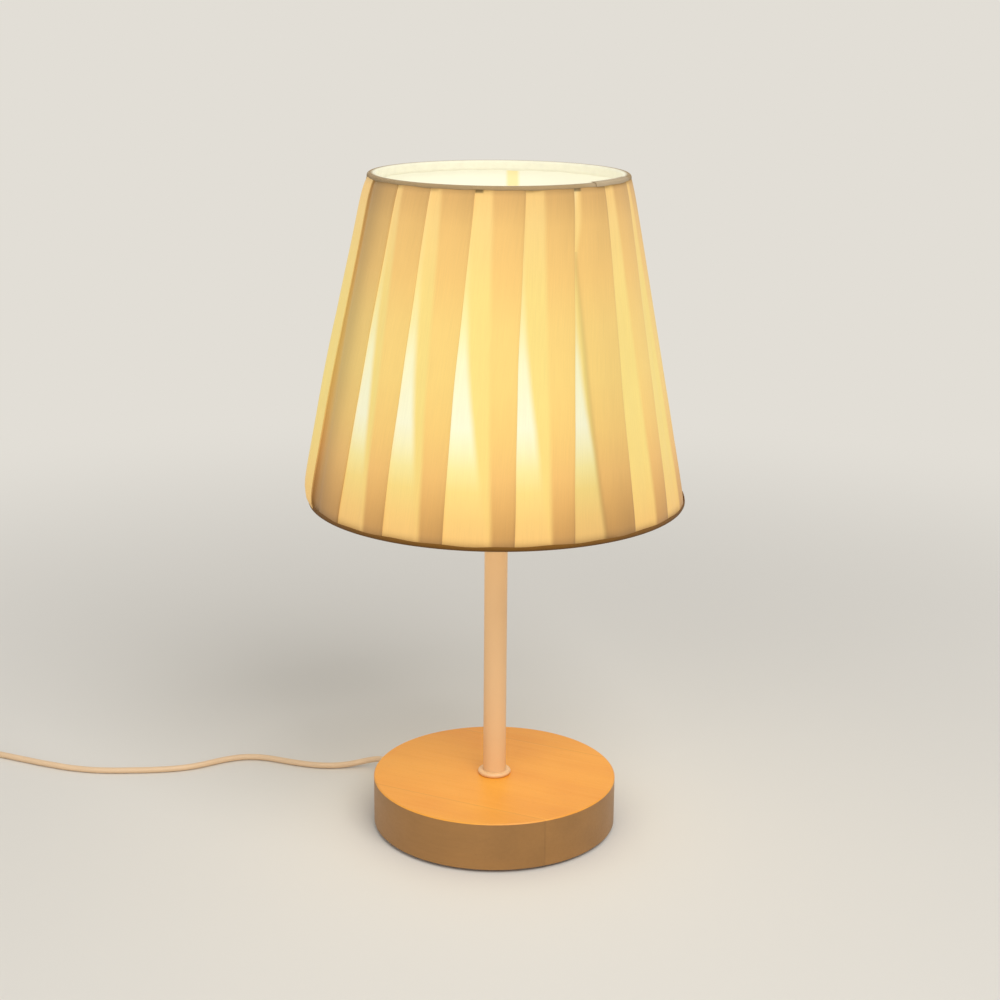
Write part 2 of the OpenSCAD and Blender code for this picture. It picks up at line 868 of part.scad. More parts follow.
// Stiff lining: a cone of sheet whose ends overlap in a seam at the back
module lining_wall(inset, t, turn) {
  rotate_extrude(angle = turn)
    polygon([
      [shade_r(shell_low, inset), shell_low], [shade_r(shell_high, inset), shell_high],
      [shade_r(shell_high, inset + t), shell_high], [shade_r(shell_low, inset + t), shell_low]
    ]);
}

module shade_lining() {
  seam_low = bottom_wire_z + wire_d / 2 + arm_d + 2 * clear;
  seam_high = top_wire_z - wire_d / 2 - clear;
  color("#FBF5E4") {
    lining_wall(lining_inset, lining_t, 360);
    rotate([0, 0, seam_from])
      intersection() {
        lining_wall(lining_inset + lining_t - seat, lining_t, seam_turn);
        translate([0, 0, seam_low])
          cylinder(d = shade_bottom_d, h = seam_high - seam_low);
      }
  }
}

// Pleated fabric: each pleat lies flat on the lining, thickens to three layers and ends in a fold edge
function drift(i, up) =
  let (k = i % pleats % len(foot_drift))
  mix(foot_drift[k], top_drift[k], up);
function fold_angle(i, up) = -90 + fold_turn + i * pleat_step + drift(i, up) + fold_lean * up;
function overlap_share(i, up) =
  let (width = mix(overlap_bottom, overlap_top, up), z = mix(shell_low, shell_high, up))
  min(0.8, width / (shade_r(z) * pleat_step * PI / 180));
function pleat_profile(i, up) =
  let (flat_part = 1 - overlap_share(i, up))
  [
    [-tuck, layer_t], [(flat_part - rise_share) / 2, layer_t], [flat_part - rise_share, layer_t],
    [flat_part, pleat_depth - seat], [1, pleat_depth], [1, max(pleat_depth - layer_t, layer_t + seat)]
  ];
function pleat_row(up) = [
  for (i = [0:pleats - 1])
    let (
      from = fold_angle(i, up),
      arc = pleat_step + drift(i + 1, up) - drift(i, up),
      z = mix(shell_low, shell_high, up),
      inner_r = shade_r(z, fold_inset + pleat_depth)
    )
    each concat(
      [for (p = pleat_profile(i, up)) polar(inner_r + p[1], from + arc * p[0], z)],
      [for (k = [0:2]) polar(inner_r, from + arc * k / 3, z)]
    )
];
row_size = 9;
outer_size = 6;

function pleat_index(row, i, k) = row * pleats * row_size + (i % pleats) * row_size + k;
function chain(row, i) = concat(
  [for (k = [0:outer_size - 1]) pleat_index(row, i, k)],
  [pleat_index(row, i + 1, 0)]
);
function inner_chain(row, i) = concat(
  [for (k = [0:2]) pleat_index(row, i, outer_size + k)],
  [pleat_index(row, i + 1, outer_size)]
);
function strip(a, b) = [
  for (k = [0:len(a) - 2])
    each [[a[k], b[k], a[k + 1]], [a[k + 1], b[k], b[k + 1]]]
];
function cap_faces(row, i) =
  let (o = chain(row, i), n = inner_chain(row, i))
  [
    [o[0], o[1], n[1]], [o[0], n[1], n[0]], [o[1], o[2], n[1]], [o[2], n[2], n[1]],
    [o[2], o[3], n[2]], [o[3], o[4], o[5]], [o[3], o[5], o[6]], [o[3], o[6], n[2]],
    [n[2], o[6], n[3]]
  ];
function flipped(faces) = [for (f = faces) [f[0], f[2], f[1]]];

module shade_fabric() {
  rows = [for (s = [0:fabric_strips]) each pleat_row(s / fabric_strips)];
  walls = [
    for (s = [0:fabric_strips - 1])
      for (i = [0:pleats - 1])
        each concat(
          strip(chain(s, i), chain(s + 1, i)),
          flipped(strip(inner_chain(s, i), inner_chain(s + 1, i)))
        )
  ];
  ends = [
    for (i = [0:pleats - 1])
      each concat(cap_faces(0, i), flipped(cap_faces(fabric_strips, i)))
  ];
  color("#F3E6CF")
    polyhedron(points = rows, faces = concat(walls, ends));
}

// Fabric tape folded round a rim and its wire ring; side is 1 at the lower rim and -1 at the upper rim
module rim_tape(z0, side) {
  inner_h = tape_t + wire_d - clear;
  function at(inset, up) =
    let (z = z0 + side * up)
    [shade_r(z, inset), z];
  color("#D9CDB4")
    rotate_extrude()
      polygon(concat(
        [at(0, tape_h)],
        [for (a = [0:30:90]) at(tape_corner * (1 - cos(a)), tape_corner * (1 - sin(a)))],
        [for (a = [90:30:180]) at(tape_w - tape_corner * (1 + cos(a)), tape_corner * (1 - sin(a)))],
        [
          at(tape_w, inner_h), at(tape_w - tape_t, inner_h), at(tape_w - tape_t, tape_t),
          at(tape_t, tape_t), at(tape_t, tape_h)
        ]
      ));
}

module bottom_tape() {
  rim_tape(rim_z, 1);
}

module top_tape() {
  rim_tape(rim_top, -1);
}

// The free cord
module cord_lead() {
  cord_tube(lead_points, 8);
}

module cord_link() {
  cord_tube(link_points, 8);
}

module cord_coil() {
  echo(coil_gap_mm = coil_gap);
  cord_tube(coil_route, 6);
}

module cord_tail() {
  cord_tube(tail_points, 8);
}

// Inline switch: two housings split at the cord's height, with a rocker in the upper one
module at_switch() {
  translate([switch_at.x, switch_at.y, 0])
    children();
}

// Outer form of the switch: a rounded outline with a boot at each end, under a rounded top
module switch_form() {
  end_r = switch_w / 2;
  side_r = 5;
  boot_root = 1.5;
  intersection() {
    union() {
      linear_extrude(height = switch_h) {
        square([switch_l - 2 * end_r, switch_w], center = true);
        for (side = [-1, 1])
          translate([side * (switch_l / 2 - end_r), 0])
            circle(r = end_r);
      }
      for (side = [-1, 1])
        translate([side * (switch_l / 2 - boot_root), 0, switch_cord_z])
          rotate([0, side * 90, 0])
            cylinder(d = cord_d + 3, h = boot_l + boot_root);
    }
    rotate([90, 0, 90])
      linear_extrude(height = 2 * switch_l, center = true)
        rounded_top(switch_w, switch_h, side_r);
  }
}

module rounded_top(w, h, r) {
  translate([-w / 2, 0])
    square([w, h - r]);
  translate([-w / 2 + r, 0])
    square([w - 2 * r, h]);
  for (side = [-1, 1])
    translate([side * (w / 2 - r), h - r])
      circle(r = r);
}

// The part of the switch's form between two heights, with a channel for the cord at each end
module housing_half(low, high) {
  difference() {
    intersection() {
      switch_form();
      translate([-switch_l, -switch_w, low])
        cube([2 * switch_l, 2 * switch_w, high - low]);
    }
    for (side = [-1, 1])
      translate([side * (cavity_l / 2 - over), 0, switch_cord_z])
        rotate([0, side * 90, 0])
          cylinder(d = cord_d + 2 * seat, h = switch_l);
  }
}

// Two screws hold the housings together, in opposite corners
module at_housing_screws() {
  for (side = [-1, 1])
    translate([side * housing_screw_at.x, side * housing_screw_at.y, 0])
      children();
}

module switch_lower_housing() {
  color("#F4F1EA")
    at_switch()
      difference() {
        housing_half(lay_gap, split_z);
        translate([-cavity_l / 2, -cavity_w / 2, housing_wall])
          cube([cavity_l, cavity_w, switch_h]);
        at_housing_screws() {
          translate([0, 0, -over])
            cylinder(d = housing_screw_d + 2 * seat, h = switch_h);
          translate([0, 0, -over])
            cylinder(
              d = housing_screw_head_d + 2 * clear,
              h = over + housing_screw_sink + housing_screw_head_t + seat
            );
        }
      }
}

module switch_upper_housing() {
  color("#F4F1EA")
    at_switch()
      difference() {
        housing_half(split_z, switch_h);
        difference() {
          translate([-cavity_l / 2, -cavity_w / 2, split_z - over])
            cube([cavity_l, cavity_w, switch_h - housing_wall - split_z + over]);
          for (side = [-1, 1])
            translate([0, side * (window_w + lug_t) / 2, pivot_z - lug_drop + switch_h / 2])
              cube([lug_w, lug_t, switch_h], center = true);
        }
        translate([-window_l / 2, -window_w / 2, split_z])
          cube([window_l, window_w, switch_h]);
        translate([0, 0, pivot_z])
          rotate([90, 0, 0])
            cylinder(d = pivot_d + 2 * clear, h = window_w + 2 * lug_t - 2 * run, center = true);
        at_housing_screws()
          translate([0, 0, split_z - over])
            cylinder(d = housing_screw_d + 2 * seat, h = over + housing_screw_bite + seat);
      }
}

module switch_screws() {
  color("silver")
    at_switch()
      at_housing_screws()
        translate([0, 0, housing_screw_sink])
          difference() {
            union() {
              cylinder(d = housing_screw_head_d, h = housing_screw_head_t);
              cylinder(d = housing_screw_d, h = split_z + housing_screw_bite - housing_screw_sink);
            }
            cube([housing_screw_d, housing_screw_d / 3, housing_screw_head_t], center = true);
            cube([housing_screw_d / 3, housing_screw_d, housing_screw_head_t], center = true);
          }
}

// The rocker's frame, tipped to its ON side about a pin across the switch
module at_rocker() {
  at_switch()
    translate([0, 0, pivot_z])
      rotate([0, -rocker_tilt, 0])
        children();
}

// Side view of the rocker: two raised ends, a shallow hollow between them and a cut-back underside
module rocker_outline() {
  half = rocker_l / 2;
  top = switch_h - pivot_z - clear;
  dip = 0.6;
  below = 1.2;
  polygon([
    [-half, -below / 2], [-half, top - dip], [-half + dip, top], [-half / 2, top - dip / 2],
    [0, top - dip], [half / 2, top - dip / 2], [half - dip, top], [half, top - dip],
    [half, -below / 2], [half - 3, -below], [-half + 3, -below]
  ]);
}

module switch_rocker() {
  color("#F8F6F0")
    at_rocker()
      difference() {
        union() {
          rotate([90, 0, 0])
            linear_extrude(height = rocker_w, center = true)
              rocker_outline();
          translate([0, 0, -nose_drop])
            cylinder(r = nose_r, h = nose_drop);
          rotate([90, 0, 0])
            cylinder(d = pivot_d, h = rocker_w + 2 * pivot_reach, center = true);
        }
        translate([0, 0, -nose_drop - over])
          cylinder(d = spring_d + 2 * clear, h = nose_drop + over - nose_roof);
      }
}

// Plunger and spring in the rocker's nose, which press on the contact bar
module rocker_spring() {
  foot = plunger_l - plunger_drop;
  color("silver")
    at_rocker()
      washer(spring_d - 2 * spring_wall, spring_d, foot, -nose_roof - seat - foot);
}

module rocker_plunger() {
  color("#F4F1EA")
    at_rocker()
      translate([0, 0, -plunger_drop])
        intersection() {
          cylinder(d = spring_d, h = plunger_l);
          translate([0, 0, spring_d])
            sphere(r = spring_d);
        }
}

// Contact bar: a brass see-saw with a round rib on the pivot terminal, pushed over by the rocker
module switch_contact_bar() {
  color("#C9A24B")
    at_switch()
      translate([0, 0, bar_pivot_z])
        rotate([0, bar_tilt, 0]) {
          translate([-bar_l / 2, -bar_w / 2, 0])
            cube([bar_l, bar_w, bar_t]);
          translate([stud_x, 0, -stud_t])
            cylinder(d = stud_d, h = stud_t);
          rotate([90, 0, 0])
            cylinder(d = bar_rib_d, h = bar_w, center = true);
        }
}

// Clamp terminal with a screw hole, and a flat strip from x = from towards +X
module terminal_block(side) {
  hole_deep = 1.4;
  translate([side * terminal_x, 0, cavity_floor])
    difference() {
      translate([-terminal_l / 2, -terminal_w / 2, 0])
        cube([terminal_l, terminal_w, terminal_h]);
      translate([0, 0, terminal_h - hole_deep])
        cylinder(d = terminal_l / 2, h = hole_deep + over);
    }
}

module terminal_strip(from, l, t) {
  translate([from, -bar_w / 2, cavity_floor])
    cube([l, bar_w, t]);
}

module switch_line_terminal() {
  color("#C9A24B")
    at_switch()
      terminal_block(-1);
}

module switch_load_terminal() {
  reach = terminal_x - stud_x + stud_d / 2 + clear;
  color("#C9A24B")
    at_switch() {
      terminal_block(1);
      terminal_strip(terminal_x - reach, reach, stud_low_z - seat - cavity_floor);
    }
}

module switch_pivot_terminal() {
  post_l = 2;
  foot = terminal_x - terminal_l / 2;
  color("#C9A24B")
    at_switch() {
      terminal_strip(-post_l / 2, post_l, bar_pivot_z - bar_rib_d / 2 - run - cavity_floor);
      terminal_strip(-foot, foot, strip_t);
    }
}

// Ends of the sheathed cord in the switch's channels
module switch_cord_ends() {
  color("ivory")
    at_switch()
      for (side = [-1, 1])
        translate([side * stub_x, 0, switch_cord_z])
          rotate([0, side * 90, 0])
            cylinder(d = cord_d, h = switch_half - stub_x);
}

module switch_live_cores() {
  l = stub_x - terminal_x - terminal_l / 2;
  color("#6B4226")
    at_switch()
      for (side = [-1, 1])
        translate([side * (stub_x - l), -core_y, stub_core_z])
          rotate([0, side * 90, 0])
            cylinder(d = core_d, h = l);
}

module switch_neutral_core() {
  n = len(neutral_way);
  start = [stub_x, 0, stub_core_z];
  color("#3F6FA8")
    at_switch()
      swept_tube(concat(
        [for (p = neutral_way) start + p],
        [for (k = [1:n]) let (p = start + neutral_way[n - k]) [-p.x, p.y, p.z]]
      ), core_d / 2, 8);
}

// Plug with two round pins, laid flat with its pins towards the viewer
module at_plug() {
  translate(plug_start)
    rotate([0, 0, -90])
      children();
}

// Half outline of the plug from its boot to its face, as [distance along it, half width]
function plug_half(end_w, side_w) = [
  [plug_boot_l, plug_boot_d / 2], [plug_boot_l + 4.5, side_w - 3], [plug_boot_l + plug_shoulder_l, side_w],
  [plug_l - 2, side_w], [plug_l, end_w]
];
function mirrored(points) = [for (k = [len(points) - 1:-1:0]) [points[k].x, -points[k].y]];

module plug_body() {
  wide = plug_half(plug_w / 2 - 1, plug_w / 2);
  flat = plug_half(plug_t / 2, plug_t / 2);
  sleeve_root = 1;
  color("#F4F1EA")
    at_plug()
      difference() {
        union() {
          rotate([0, 90, 0])
            cylinder(d1 = plug_mouth_d, d2 = plug_boot_d, h = plug_boot_l);
          intersection() {
            translate([0, 0, -plug_t / 2])
              linear_extrude(height = plug_t)
                polygon(concat(wide, mirrored(wide)));
            rotate([90, 0, 0])
              linear_extrude(height = plug_w + over, center = true)
                polygon(concat(flat, mirrored(flat)));
          }
          for (side = [-1, 1])
            translate([plug_l - sleeve_root, side * pin_gap / 2, 0])
              rotate([0, 90, 0])
                cylinder(d = pin_sleeve_d, h = pin_sleeve_l + sleeve_root);
        }
        for (side = [-1, 1])
          translate([plug_l - pin_root, side * pin_gap / 2, 0])
            rotate([0, 90, 0])
              cylinder(d = pin_core_d + 2 * seat, h = pin_l + pin_root);
      }
}

// Brass pins: a thin root in the body and its sleeve, and a full tip with a bevelled end
module plug_pin(side) {
  bevel = 1;
  color("#D9B45A")
    at_plug()
      translate([plug_l + pin_l - pin_tip, side * pin_gap / 2, 0])
        rotate([0, 90, 0]) {
          translate([0, 0, -pin_l + pin_tip - pin_root + seat])
            cylinder(d = pin_core_d, h = pin_l - pin_tip + pin_root - seat);
          cylinder(d = pin_d, h = pin_tip - bevel);
          translate([0, 0, pin_tip - bevel])
            cylinder(d1 = pin_d, d2 = pin_d - 1.5 * bevel, h = bevel);
        }
}

module plug_pin_1() {
  plug_pin(-1);
}

module plug_pin_2() {
  plug_pin(1);
}

base_disc();
base_pad();
base_washer();
base_nut();
threaded_tube();
pole_collar();
pole();
strain_relief();
inner_cord();
live_core();
neutral_core();
holder_cap();
cap_grub_screw();
contact_block();
block_screws();
screw_shell();
centre_contact();
holder_sleeve();
shade_ring();
bulb_globe();
bulb_body();
bulb_led_board();
bulb_driver();
bulb_screw_cap();
bulb_insulator();
bulb_tip();
fitter_ring();
spider_arm_1();
spider_arm_2();
spider_arm_3();
bottom_ring();
top_ring();
shade_lining();
shade_fabric();
bottom_tape();
top_tape();
cord_lead();
cord_link();
cord_coil();
cord_tail();
switch_lower_housing();
switch_upper_housing();
switch_screws();
switch_rocker();
rocker_plunger();
rocker_spring();
switch_contact_bar();
switch_line_terminal();
switch_load_terminal();
switch_pivot_terminal();
switch_cord_ends();
switch_live_cores();
switch_neutral_core();
plug_body();
plug_pin_1();
plug_pin_2();
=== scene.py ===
"""Small wooden table lamp with a pleated shade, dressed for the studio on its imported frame."""
import json
import math
from collections import namedtuple
from itertools import accumulate, pairwise

import bmesh
import bpy
from bpy.props import FloatProperty, FloatVectorProperty, IntProperty, PointerProperty
from bpy.types import Operator, Panel, PropertyGroup
from mathutils import Matrix, Vector


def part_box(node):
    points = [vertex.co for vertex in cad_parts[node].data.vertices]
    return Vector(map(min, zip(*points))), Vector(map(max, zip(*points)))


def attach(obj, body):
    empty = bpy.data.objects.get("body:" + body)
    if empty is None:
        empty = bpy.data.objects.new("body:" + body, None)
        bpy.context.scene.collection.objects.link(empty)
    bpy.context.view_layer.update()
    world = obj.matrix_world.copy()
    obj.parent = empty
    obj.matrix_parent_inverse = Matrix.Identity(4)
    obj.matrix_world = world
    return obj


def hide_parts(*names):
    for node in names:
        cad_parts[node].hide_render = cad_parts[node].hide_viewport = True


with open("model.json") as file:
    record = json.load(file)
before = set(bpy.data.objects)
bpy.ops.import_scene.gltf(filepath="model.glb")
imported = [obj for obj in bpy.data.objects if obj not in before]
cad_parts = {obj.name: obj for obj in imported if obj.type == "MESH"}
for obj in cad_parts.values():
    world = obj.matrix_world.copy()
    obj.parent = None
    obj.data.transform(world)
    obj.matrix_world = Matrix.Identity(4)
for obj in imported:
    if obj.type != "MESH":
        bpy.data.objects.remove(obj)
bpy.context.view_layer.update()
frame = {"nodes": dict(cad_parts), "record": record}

bl_info = {
    "name": "Pleated Table Lamp",
    "version": (1, 0, 0),
    "blender": (4, 5, 0),
    "location": "View3D > Sidebar > Lamp",
    "description": "Dresses a small wooden table lamp: cord, wood, paint, lit pleated shade and studio",
    "category": "Object",
}

MM = 0.001


def srgb(red, green, blue):
    """A colour as it looks on screen, from 0 to 255, as the linear values that shaders take."""
    return tuple(
        c / 255 / 12.92 if c / 255 <= 0.04045 else ((c / 255 + 0.055) / 1.055) ** 2.4
        for c in (red, green, blue)
    )


def opaque(shade):
    """A colour with its alpha at one, as sockets take it."""
    return (*shade[:3], 1.0)


def mix(a, b, t):
    """The value at a share t of the way from a to b."""
    return a + (b - a) * t


def polar(radius, angle, z):
    """A point at an angle in degrees from +X."""
    turn = math.radians(angle)
    return Vector((radius * math.cos(turn), radius * math.sin(turn), z))


def smooth(t):
    """0 below 0, 1 above 1, and an even rise between them."""
    t = max(0.0, min(1.0, t))
    return t * t * (3 - 2 * t)


# Sizes and colours that a user would change

def length(name, description, default):
    """A length in metres, up to one."""
    return FloatProperty(
        name=name, description=description, default=default, min=0.0, max=1.0, unit="LENGTH", precision=4
    )


def angle(name, description, degrees):
    return FloatProperty(name=name, description=description, default=math.radians(degrees), subtype="ANGLE")


def share(name, description, default):
    return FloatProperty(
        name=name, description=description, default=default, min=0.0, max=1.0, subtype="FACTOR"
    )


def colour(name, of, *shade):
    return FloatVectorProperty(
        name=name, description=f"Colour of {of}", default=srgb(*shade), size=3, min=0.0, max=1.0,
        subtype="COLOR",
    )


def per_pleat(name, description, *values):
    """One number for each pleat, in the order that the pleats run round the shade."""
    return FloatVectorProperty(name=name, description=description, default=values, size=len(values))


class LampCordSettings(PropertyGroup):
    diameter: length("Diameter", "Thickness of the round cord", 3.5 * MM)
    coil_radius: length("Coil radius", "Outer radius of the coil at the cord's middle", 26 * MM)
    coil_turns: FloatProperty(name="Coil turns", description="Turns in the coil", default=10.25, min=1)
    coil_layers: IntProperty(name="Coil layers", description="Layers of the coil", default=4, min=1)
    coil_gap: length("Coil gap", "Room between neighbouring turns", 0.6 * MM)
    # Painted light: the sheath is white, and its tan tint stands for warm lamplight
    sheath: colour("Sheath", "the cord's sheath", 224, 192, 154)


class LampWoodSettings(PropertyGroup):
    # Partly painted light: the honey and amber are the beech's own tones, made more orange as warm
    # lamplight shows them
    honey: colour("Honey", "the wood's face", 241, 167, 58)
    amber: colour("Amber", "the darker grain", 230, 149, 47)
    # The rim colour is painted shade: it makes the disc's side darker than its face, as though the side lay
    # in shadow
    rim: colour("Rim", "the disc's side", 166, 118, 60)
    stave_width: length("Stave width", "Width of the glued staves", 90 * MM)
    stave_shift: length("Stave shift", "Distance of the front glue line from the middle", 42.9 * MM)
    grain_turn: angle("Grain direction", "Direction of the staves from +X", -25.9)


class LampShadeSettings(PropertyGroup):
    pleats: IntProperty(name="Pleats", description="Pleats round the shade", default=19, min=3, max=32)
    fold_turn: angle("Fold turn", "Turn of the first fold from the viewer's side", 5)
    fold_lean: angle("Fold lean", "Turn from the foot of a fold to its top", 5.5)
    fold_bow: angle("Fold bow", "How far the folds bend sideways halfway up", -1.1)
    foot_drift: per_pleat(
        "Foot drift", "Handmade unevenness of the folds at their feet, in degrees",
        0, -1.3, 1.1, -0.3, -1, 0.5, 1, 0, -0.5, 1, 0.5, -1, 0, 0.5, -0.5, -1.2, -2, -1.8, -1.7,
    )
    top_drift: per_pleat(
        "Top drift", "Handmade unevenness of the folds at their tops, in degrees",
        0.3, 3, 1.7, 2.6, 0.5, -0.5, 1, 0.5, -1, 0, 1, -0.5, 0, 1, 0.5, -2.7, -0.9, -1.9, -1.4,
    )
    single_reach: per_pleat(
        "Single reach", "How far up each pleat is single beside its left fold, as a share of the height",
        0.92, 0.75, 0.04, 0, 0.6, 0.9, 1.1, 0.7, 0.95, 1.15, 0.6, 1, 0.85, 1.1, 0.65, 0.04, 1.2, 1.1, 0.95,
    )
    # Painted light: how brightly each pleat is lit, given pleat by pleat at its foot and at its top
    foot_lit_brightness: per_pleat(
        "Foot evenness", "Each pleat's brightness at its foot as a share of the usual",
        0.99, 0.85, 0.95, 0.97, 1, 0.97, 1, 0.99, 1, 0.96, 1, 1, 0.97, 1, 0.99, 0.94, 0.98, 0.98, 1,
    )
    top_lit_brightness: per_pleat(
        "Top evenness", "Each pleat's brightness at its top as a share of the usual",
        0.92, 0.94, 0.94, 0.95, 0.98, 1, 0.96, 1, 0.97, 1, 0.95, 0.98, 1, 0.96, 1, 0.9, 1, 1, 1,
    )
    overlap_uneven: per_pleat(
        "Overlap unevenness", "Each pleat's threefold strip as a share of the usual width",
        1, 1.03, 1.05, 0.97, 0.94, 1.06, 1.02, 0.95, 1.04, 0.98, 1.05, 0.94, 1, 1.04, 0.96, 1.7, 1.05, 1.02,
        0.98,
    )
    overlap_foot: length("Overlap at the foot", "Width of the threefold strip at the lower rim", 11.5 * MM)
    overlap_top: length("Overlap at the top", "Width of the threefold strip at the upper rim", 16 * MM)
    cloth: length("Cloth", "Thickness of the cloth", 0.2 * MM)
    glow: share("Glow", "Share of the cloth's colour that it gives off as light", 0.55)
    lining: colour("Lining", "the lit lining", 255, 252, 228)
    seam: colour("Seam", "the lining's double seam", 255, 240, 176)
    tape: colour("Tape", "the upper rim's tape outside", 178, 150, 108)
    # Painted highlight: the tape end's paler tone stands for light caught where the doubled end stands up
    tape_end: colour("Tape end", "the upper rim's tape where its end lies double", 194, 172, 138)
    tape_inside: colour("Tape inside", "the tape's inner side, which the bulb lights", 255, 250, 222)
    # Painted shade: the lower tape's dark brown makes it darker than the upper tape, as though it lay in
    # shadow
    lower_tape: colour("Lower tape", "the lower rim's tape", 104, 68, 16)


class LampFinishSettings(PropertyGroup):
    # Painted light: the pole's paint is white, and its warm cream tint stands for warm lamplight
    paint: colour("Paint", "the pole and its collar", 232, 190, 140)
    holder: colour("Holder", "the bulb holder and its ring", 242, 232, 214)
    wire: colour("Wire", "the shade's painted wire frame", 240, 230, 208)
    plastic: colour("Plastic", "the switch and the plug", 238, 228, 210)
    foam: colour("Foam", "the pad under the base", 34, 28, 24)
    zinc: colour("Zinc", "nuts, washers and screws", 198, 200, 204)
    brass: colour("Brass", "contacts and pins", 214, 176, 104)
    ceramic: colour("Ceramic", "the contact block", 228, 222, 208)
    live: colour("Live core", "the live cores' insulation", 104, 66, 40)
    neutral: colour("Neutral core", "the neutral cores' insulation", 52, 98, 164)
    globe: colour("Globe", "the lit bulb", 255, 246, 214)
    board: colour("Light board", "the bulb's light board", 240, 240, 234)
    driver: colour("Driver board", "the bulb's driver board", 48, 110, 68)
    cap: colour("Bulb cap", "the bulb's screw cap", 214, 214, 210)
    insulator: colour("Insulator", "the glass between cap and tip", 30, 28, 28)


class LampStageSettings(PropertyGroup):
    eye: FloatVectorProperty(
        name="Eye", description="Place of the camera", default=(1.84 * MM, -966.6 * MM, 454.0 * MM), size=3,
        subtype="TRANSLATION", unit="LENGTH",
    )
    pitch: angle("Pitch", "How far the camera looks down", 15.58)
    roll: angle("Roll", "How far the camera is turned about its view", 0.49)
    focal_length: FloatProperty(
        name="Focal length", description="Lens in millimetres", default=67.99, unit="CAMERA"
    )
    floor: colour("Floor", "the floor", 226, 222, 214)
    glow: FloatProperty(name="Glow", description="Brightness of the shade's lower mouth", default=1.0)
    glow_colour: colour("Glow colour", "the light from the shade's lower mouth", 255, 214, 158)
    key: share("Key", "Share of the light that the key lamp gives", 0.52)
    fill: share("Fill", "Share of the light that the fill lamp gives", 0.2)
    ambient: share("Ambient", "Share of the light that comes from all round", 0.5)


# Shader building

def maths(operation, reflected=False):
    """A method that adds a Math node, with the wire as its first value or, reflected, as its last."""
    def method(self, *others):
        values = (*others, self) if reflected else (self, *others)
        return self.nodes.add("ShaderNodeMath", {"operation": operation}, dict(enumerate(values)))
    return method


class Wire:
    """An output socket in a node tree. Arithmetic on it adds Math nodes."""

    def __init__(self, nodes, socket):
        self.nodes = nodes
        self.socket = socket

    __add__ = maths("ADD")
    __radd__ = maths("ADD", reflected=True)
    __sub__ = maths("SUBTRACT")
    __rsub__ = maths("SUBTRACT", reflected=True)
    __mul__ = maths("MULTIPLY")
    __rmul__ = maths("MULTIPLY", reflected=True)
    __truediv__ = maths("DIVIDE")
    __rtruediv__ = maths("DIVIDE", reflected=True)
    __abs__ = maths("ABSOLUTE")
    sine = maths("SINE")
    floor = maths("FLOOR")
    fraction = maths("FRACT")
    root = maths("SQRT")
    arctan2 = maths("ARCTAN2")
    at_most = maths("MINIMUM")

    def rises(self, low, high):
        """0 below low, 1 above high, and smooth between them."""
        return self.nodes.add(
            "ShaderNodeMapRange",
            {"interpolation_type": "SMOOTHSTEP"},
            {"Value": self, "From Min": low, "From Max": high},
        )


class Nodes:
    """A node tree that is being filled."""

    def __init__(self, tree):
        self.tree = tree
        tree.nodes.clear()

    def add(self, kind, settings=None, inputs=None, output=0):
        """Adds a node with its settings, then its sockets' values or links, and returns one output."""
        node = self.tree.nodes.new(kind)
        for name, value in (settings or {}).items():
            if name == "stops":
                self.set_stops(node.color_ramp, value)
            else:
                setattr(node, name, value)
        for name, value in (inputs or {}).items():
            if isinstance(value, Wire):
                self.tree.links.new(value.socket, node.inputs[name])
            else:
                node.inputs[name].default_value = value
        return Wire(self, node.outputs[output]) if node.outputs else None

    @staticmethod
    def set_stops(ramp, stops):
        while len(ramp.elements) < len(stops):
            ramp.elements.new(1.0)
        for element, (position, shade) in zip(ramp.elements, stops):
            element.position = position
            element.color = opaque(shade)

    def place(self):
        """The point in the lamp's own frame, in metres."""
        return self.add("ShaderNodeTexCoord", output="Object")

    def parts(self, vector):
        split = self.add("ShaderNodeSeparateXYZ", inputs={"Vector": vector})
        outputs = split.socket.node.outputs
        return [Wire(self, outputs[name]) for name in ("X", "Y", "Z")]

    def vector(self, x, y, z):
        return self.add("ShaderNodeCombineXYZ", inputs={"X": x, "Y": y, "Z": z})

    def reads(self, name):
        """A number stored on the mesh under this name."""
        return self.add(
            "ShaderNodeAttribute", {"attribute_type": "GEOMETRY", "attribute_name": name}, output="Fac"
        )

    def noise(self, at, scale=1.0, detail=2.0):
        return self.add("ShaderNodeTexNoise", inputs={"Vector": at, "Scale": scale, "Detail": detail})

    def dice(self, number):
        """A random value from 0 to 1 that belongs to a whole number."""
        return self.add("ShaderNodeTexWhiteNoise", {"noise_dimensions": "1D"}, {"W": number})

    def blend(self, factor, first, second, way="MIX"):
        """Two colours mixed by a factor."""
        values = {
            0: factor,
            6: first if isinstance(first, Wire) else opaque(first),
            7: second if isinstance(second, Wire) else opaque(second),
        }
        return self.add("ShaderNodeMix", {"data_type": "RGBA", "blend_type": way}, values, output=2)

    def tone(self, shade, strength):
        """A colour made lighter or darker by a number that varies over the surface."""
        return self.blend(1.0, shade, self.vector(strength, strength, strength), "MULTIPLY")

    def bump(self, height, depth, strength=0.5):
        values = {"Height": height, "Distance": depth, "Strength": strength}
        return self.add("ShaderNodeBump", inputs=values, output="Normal")


class Finish(Nodes):
    """A material that is being built round one Principled shader."""

    def __init__(self, name):
        self.material = bpy.data.materials.new(name)
        self.material.use_nodes = True
        super().__init__(self.material.node_tree)

    def done(self, **sockets):
        """Sets the shader's sockets, named with underscores for spaces, and returns the material."""
        values = {name.replace("_", " "): value for name, value in sockets.items()}
        for name in ("Base Color", "Emission Color"):
            if name in values and not isinstance(values[name], Wire):
                values[name] = opaque(values[name])
        shader = self.add("ShaderNodeBsdfPrincipled", inputs=values)
        self.add("ShaderNodeOutputMaterial", inputs={"Surface": shader})
        return self.material


# Finishes

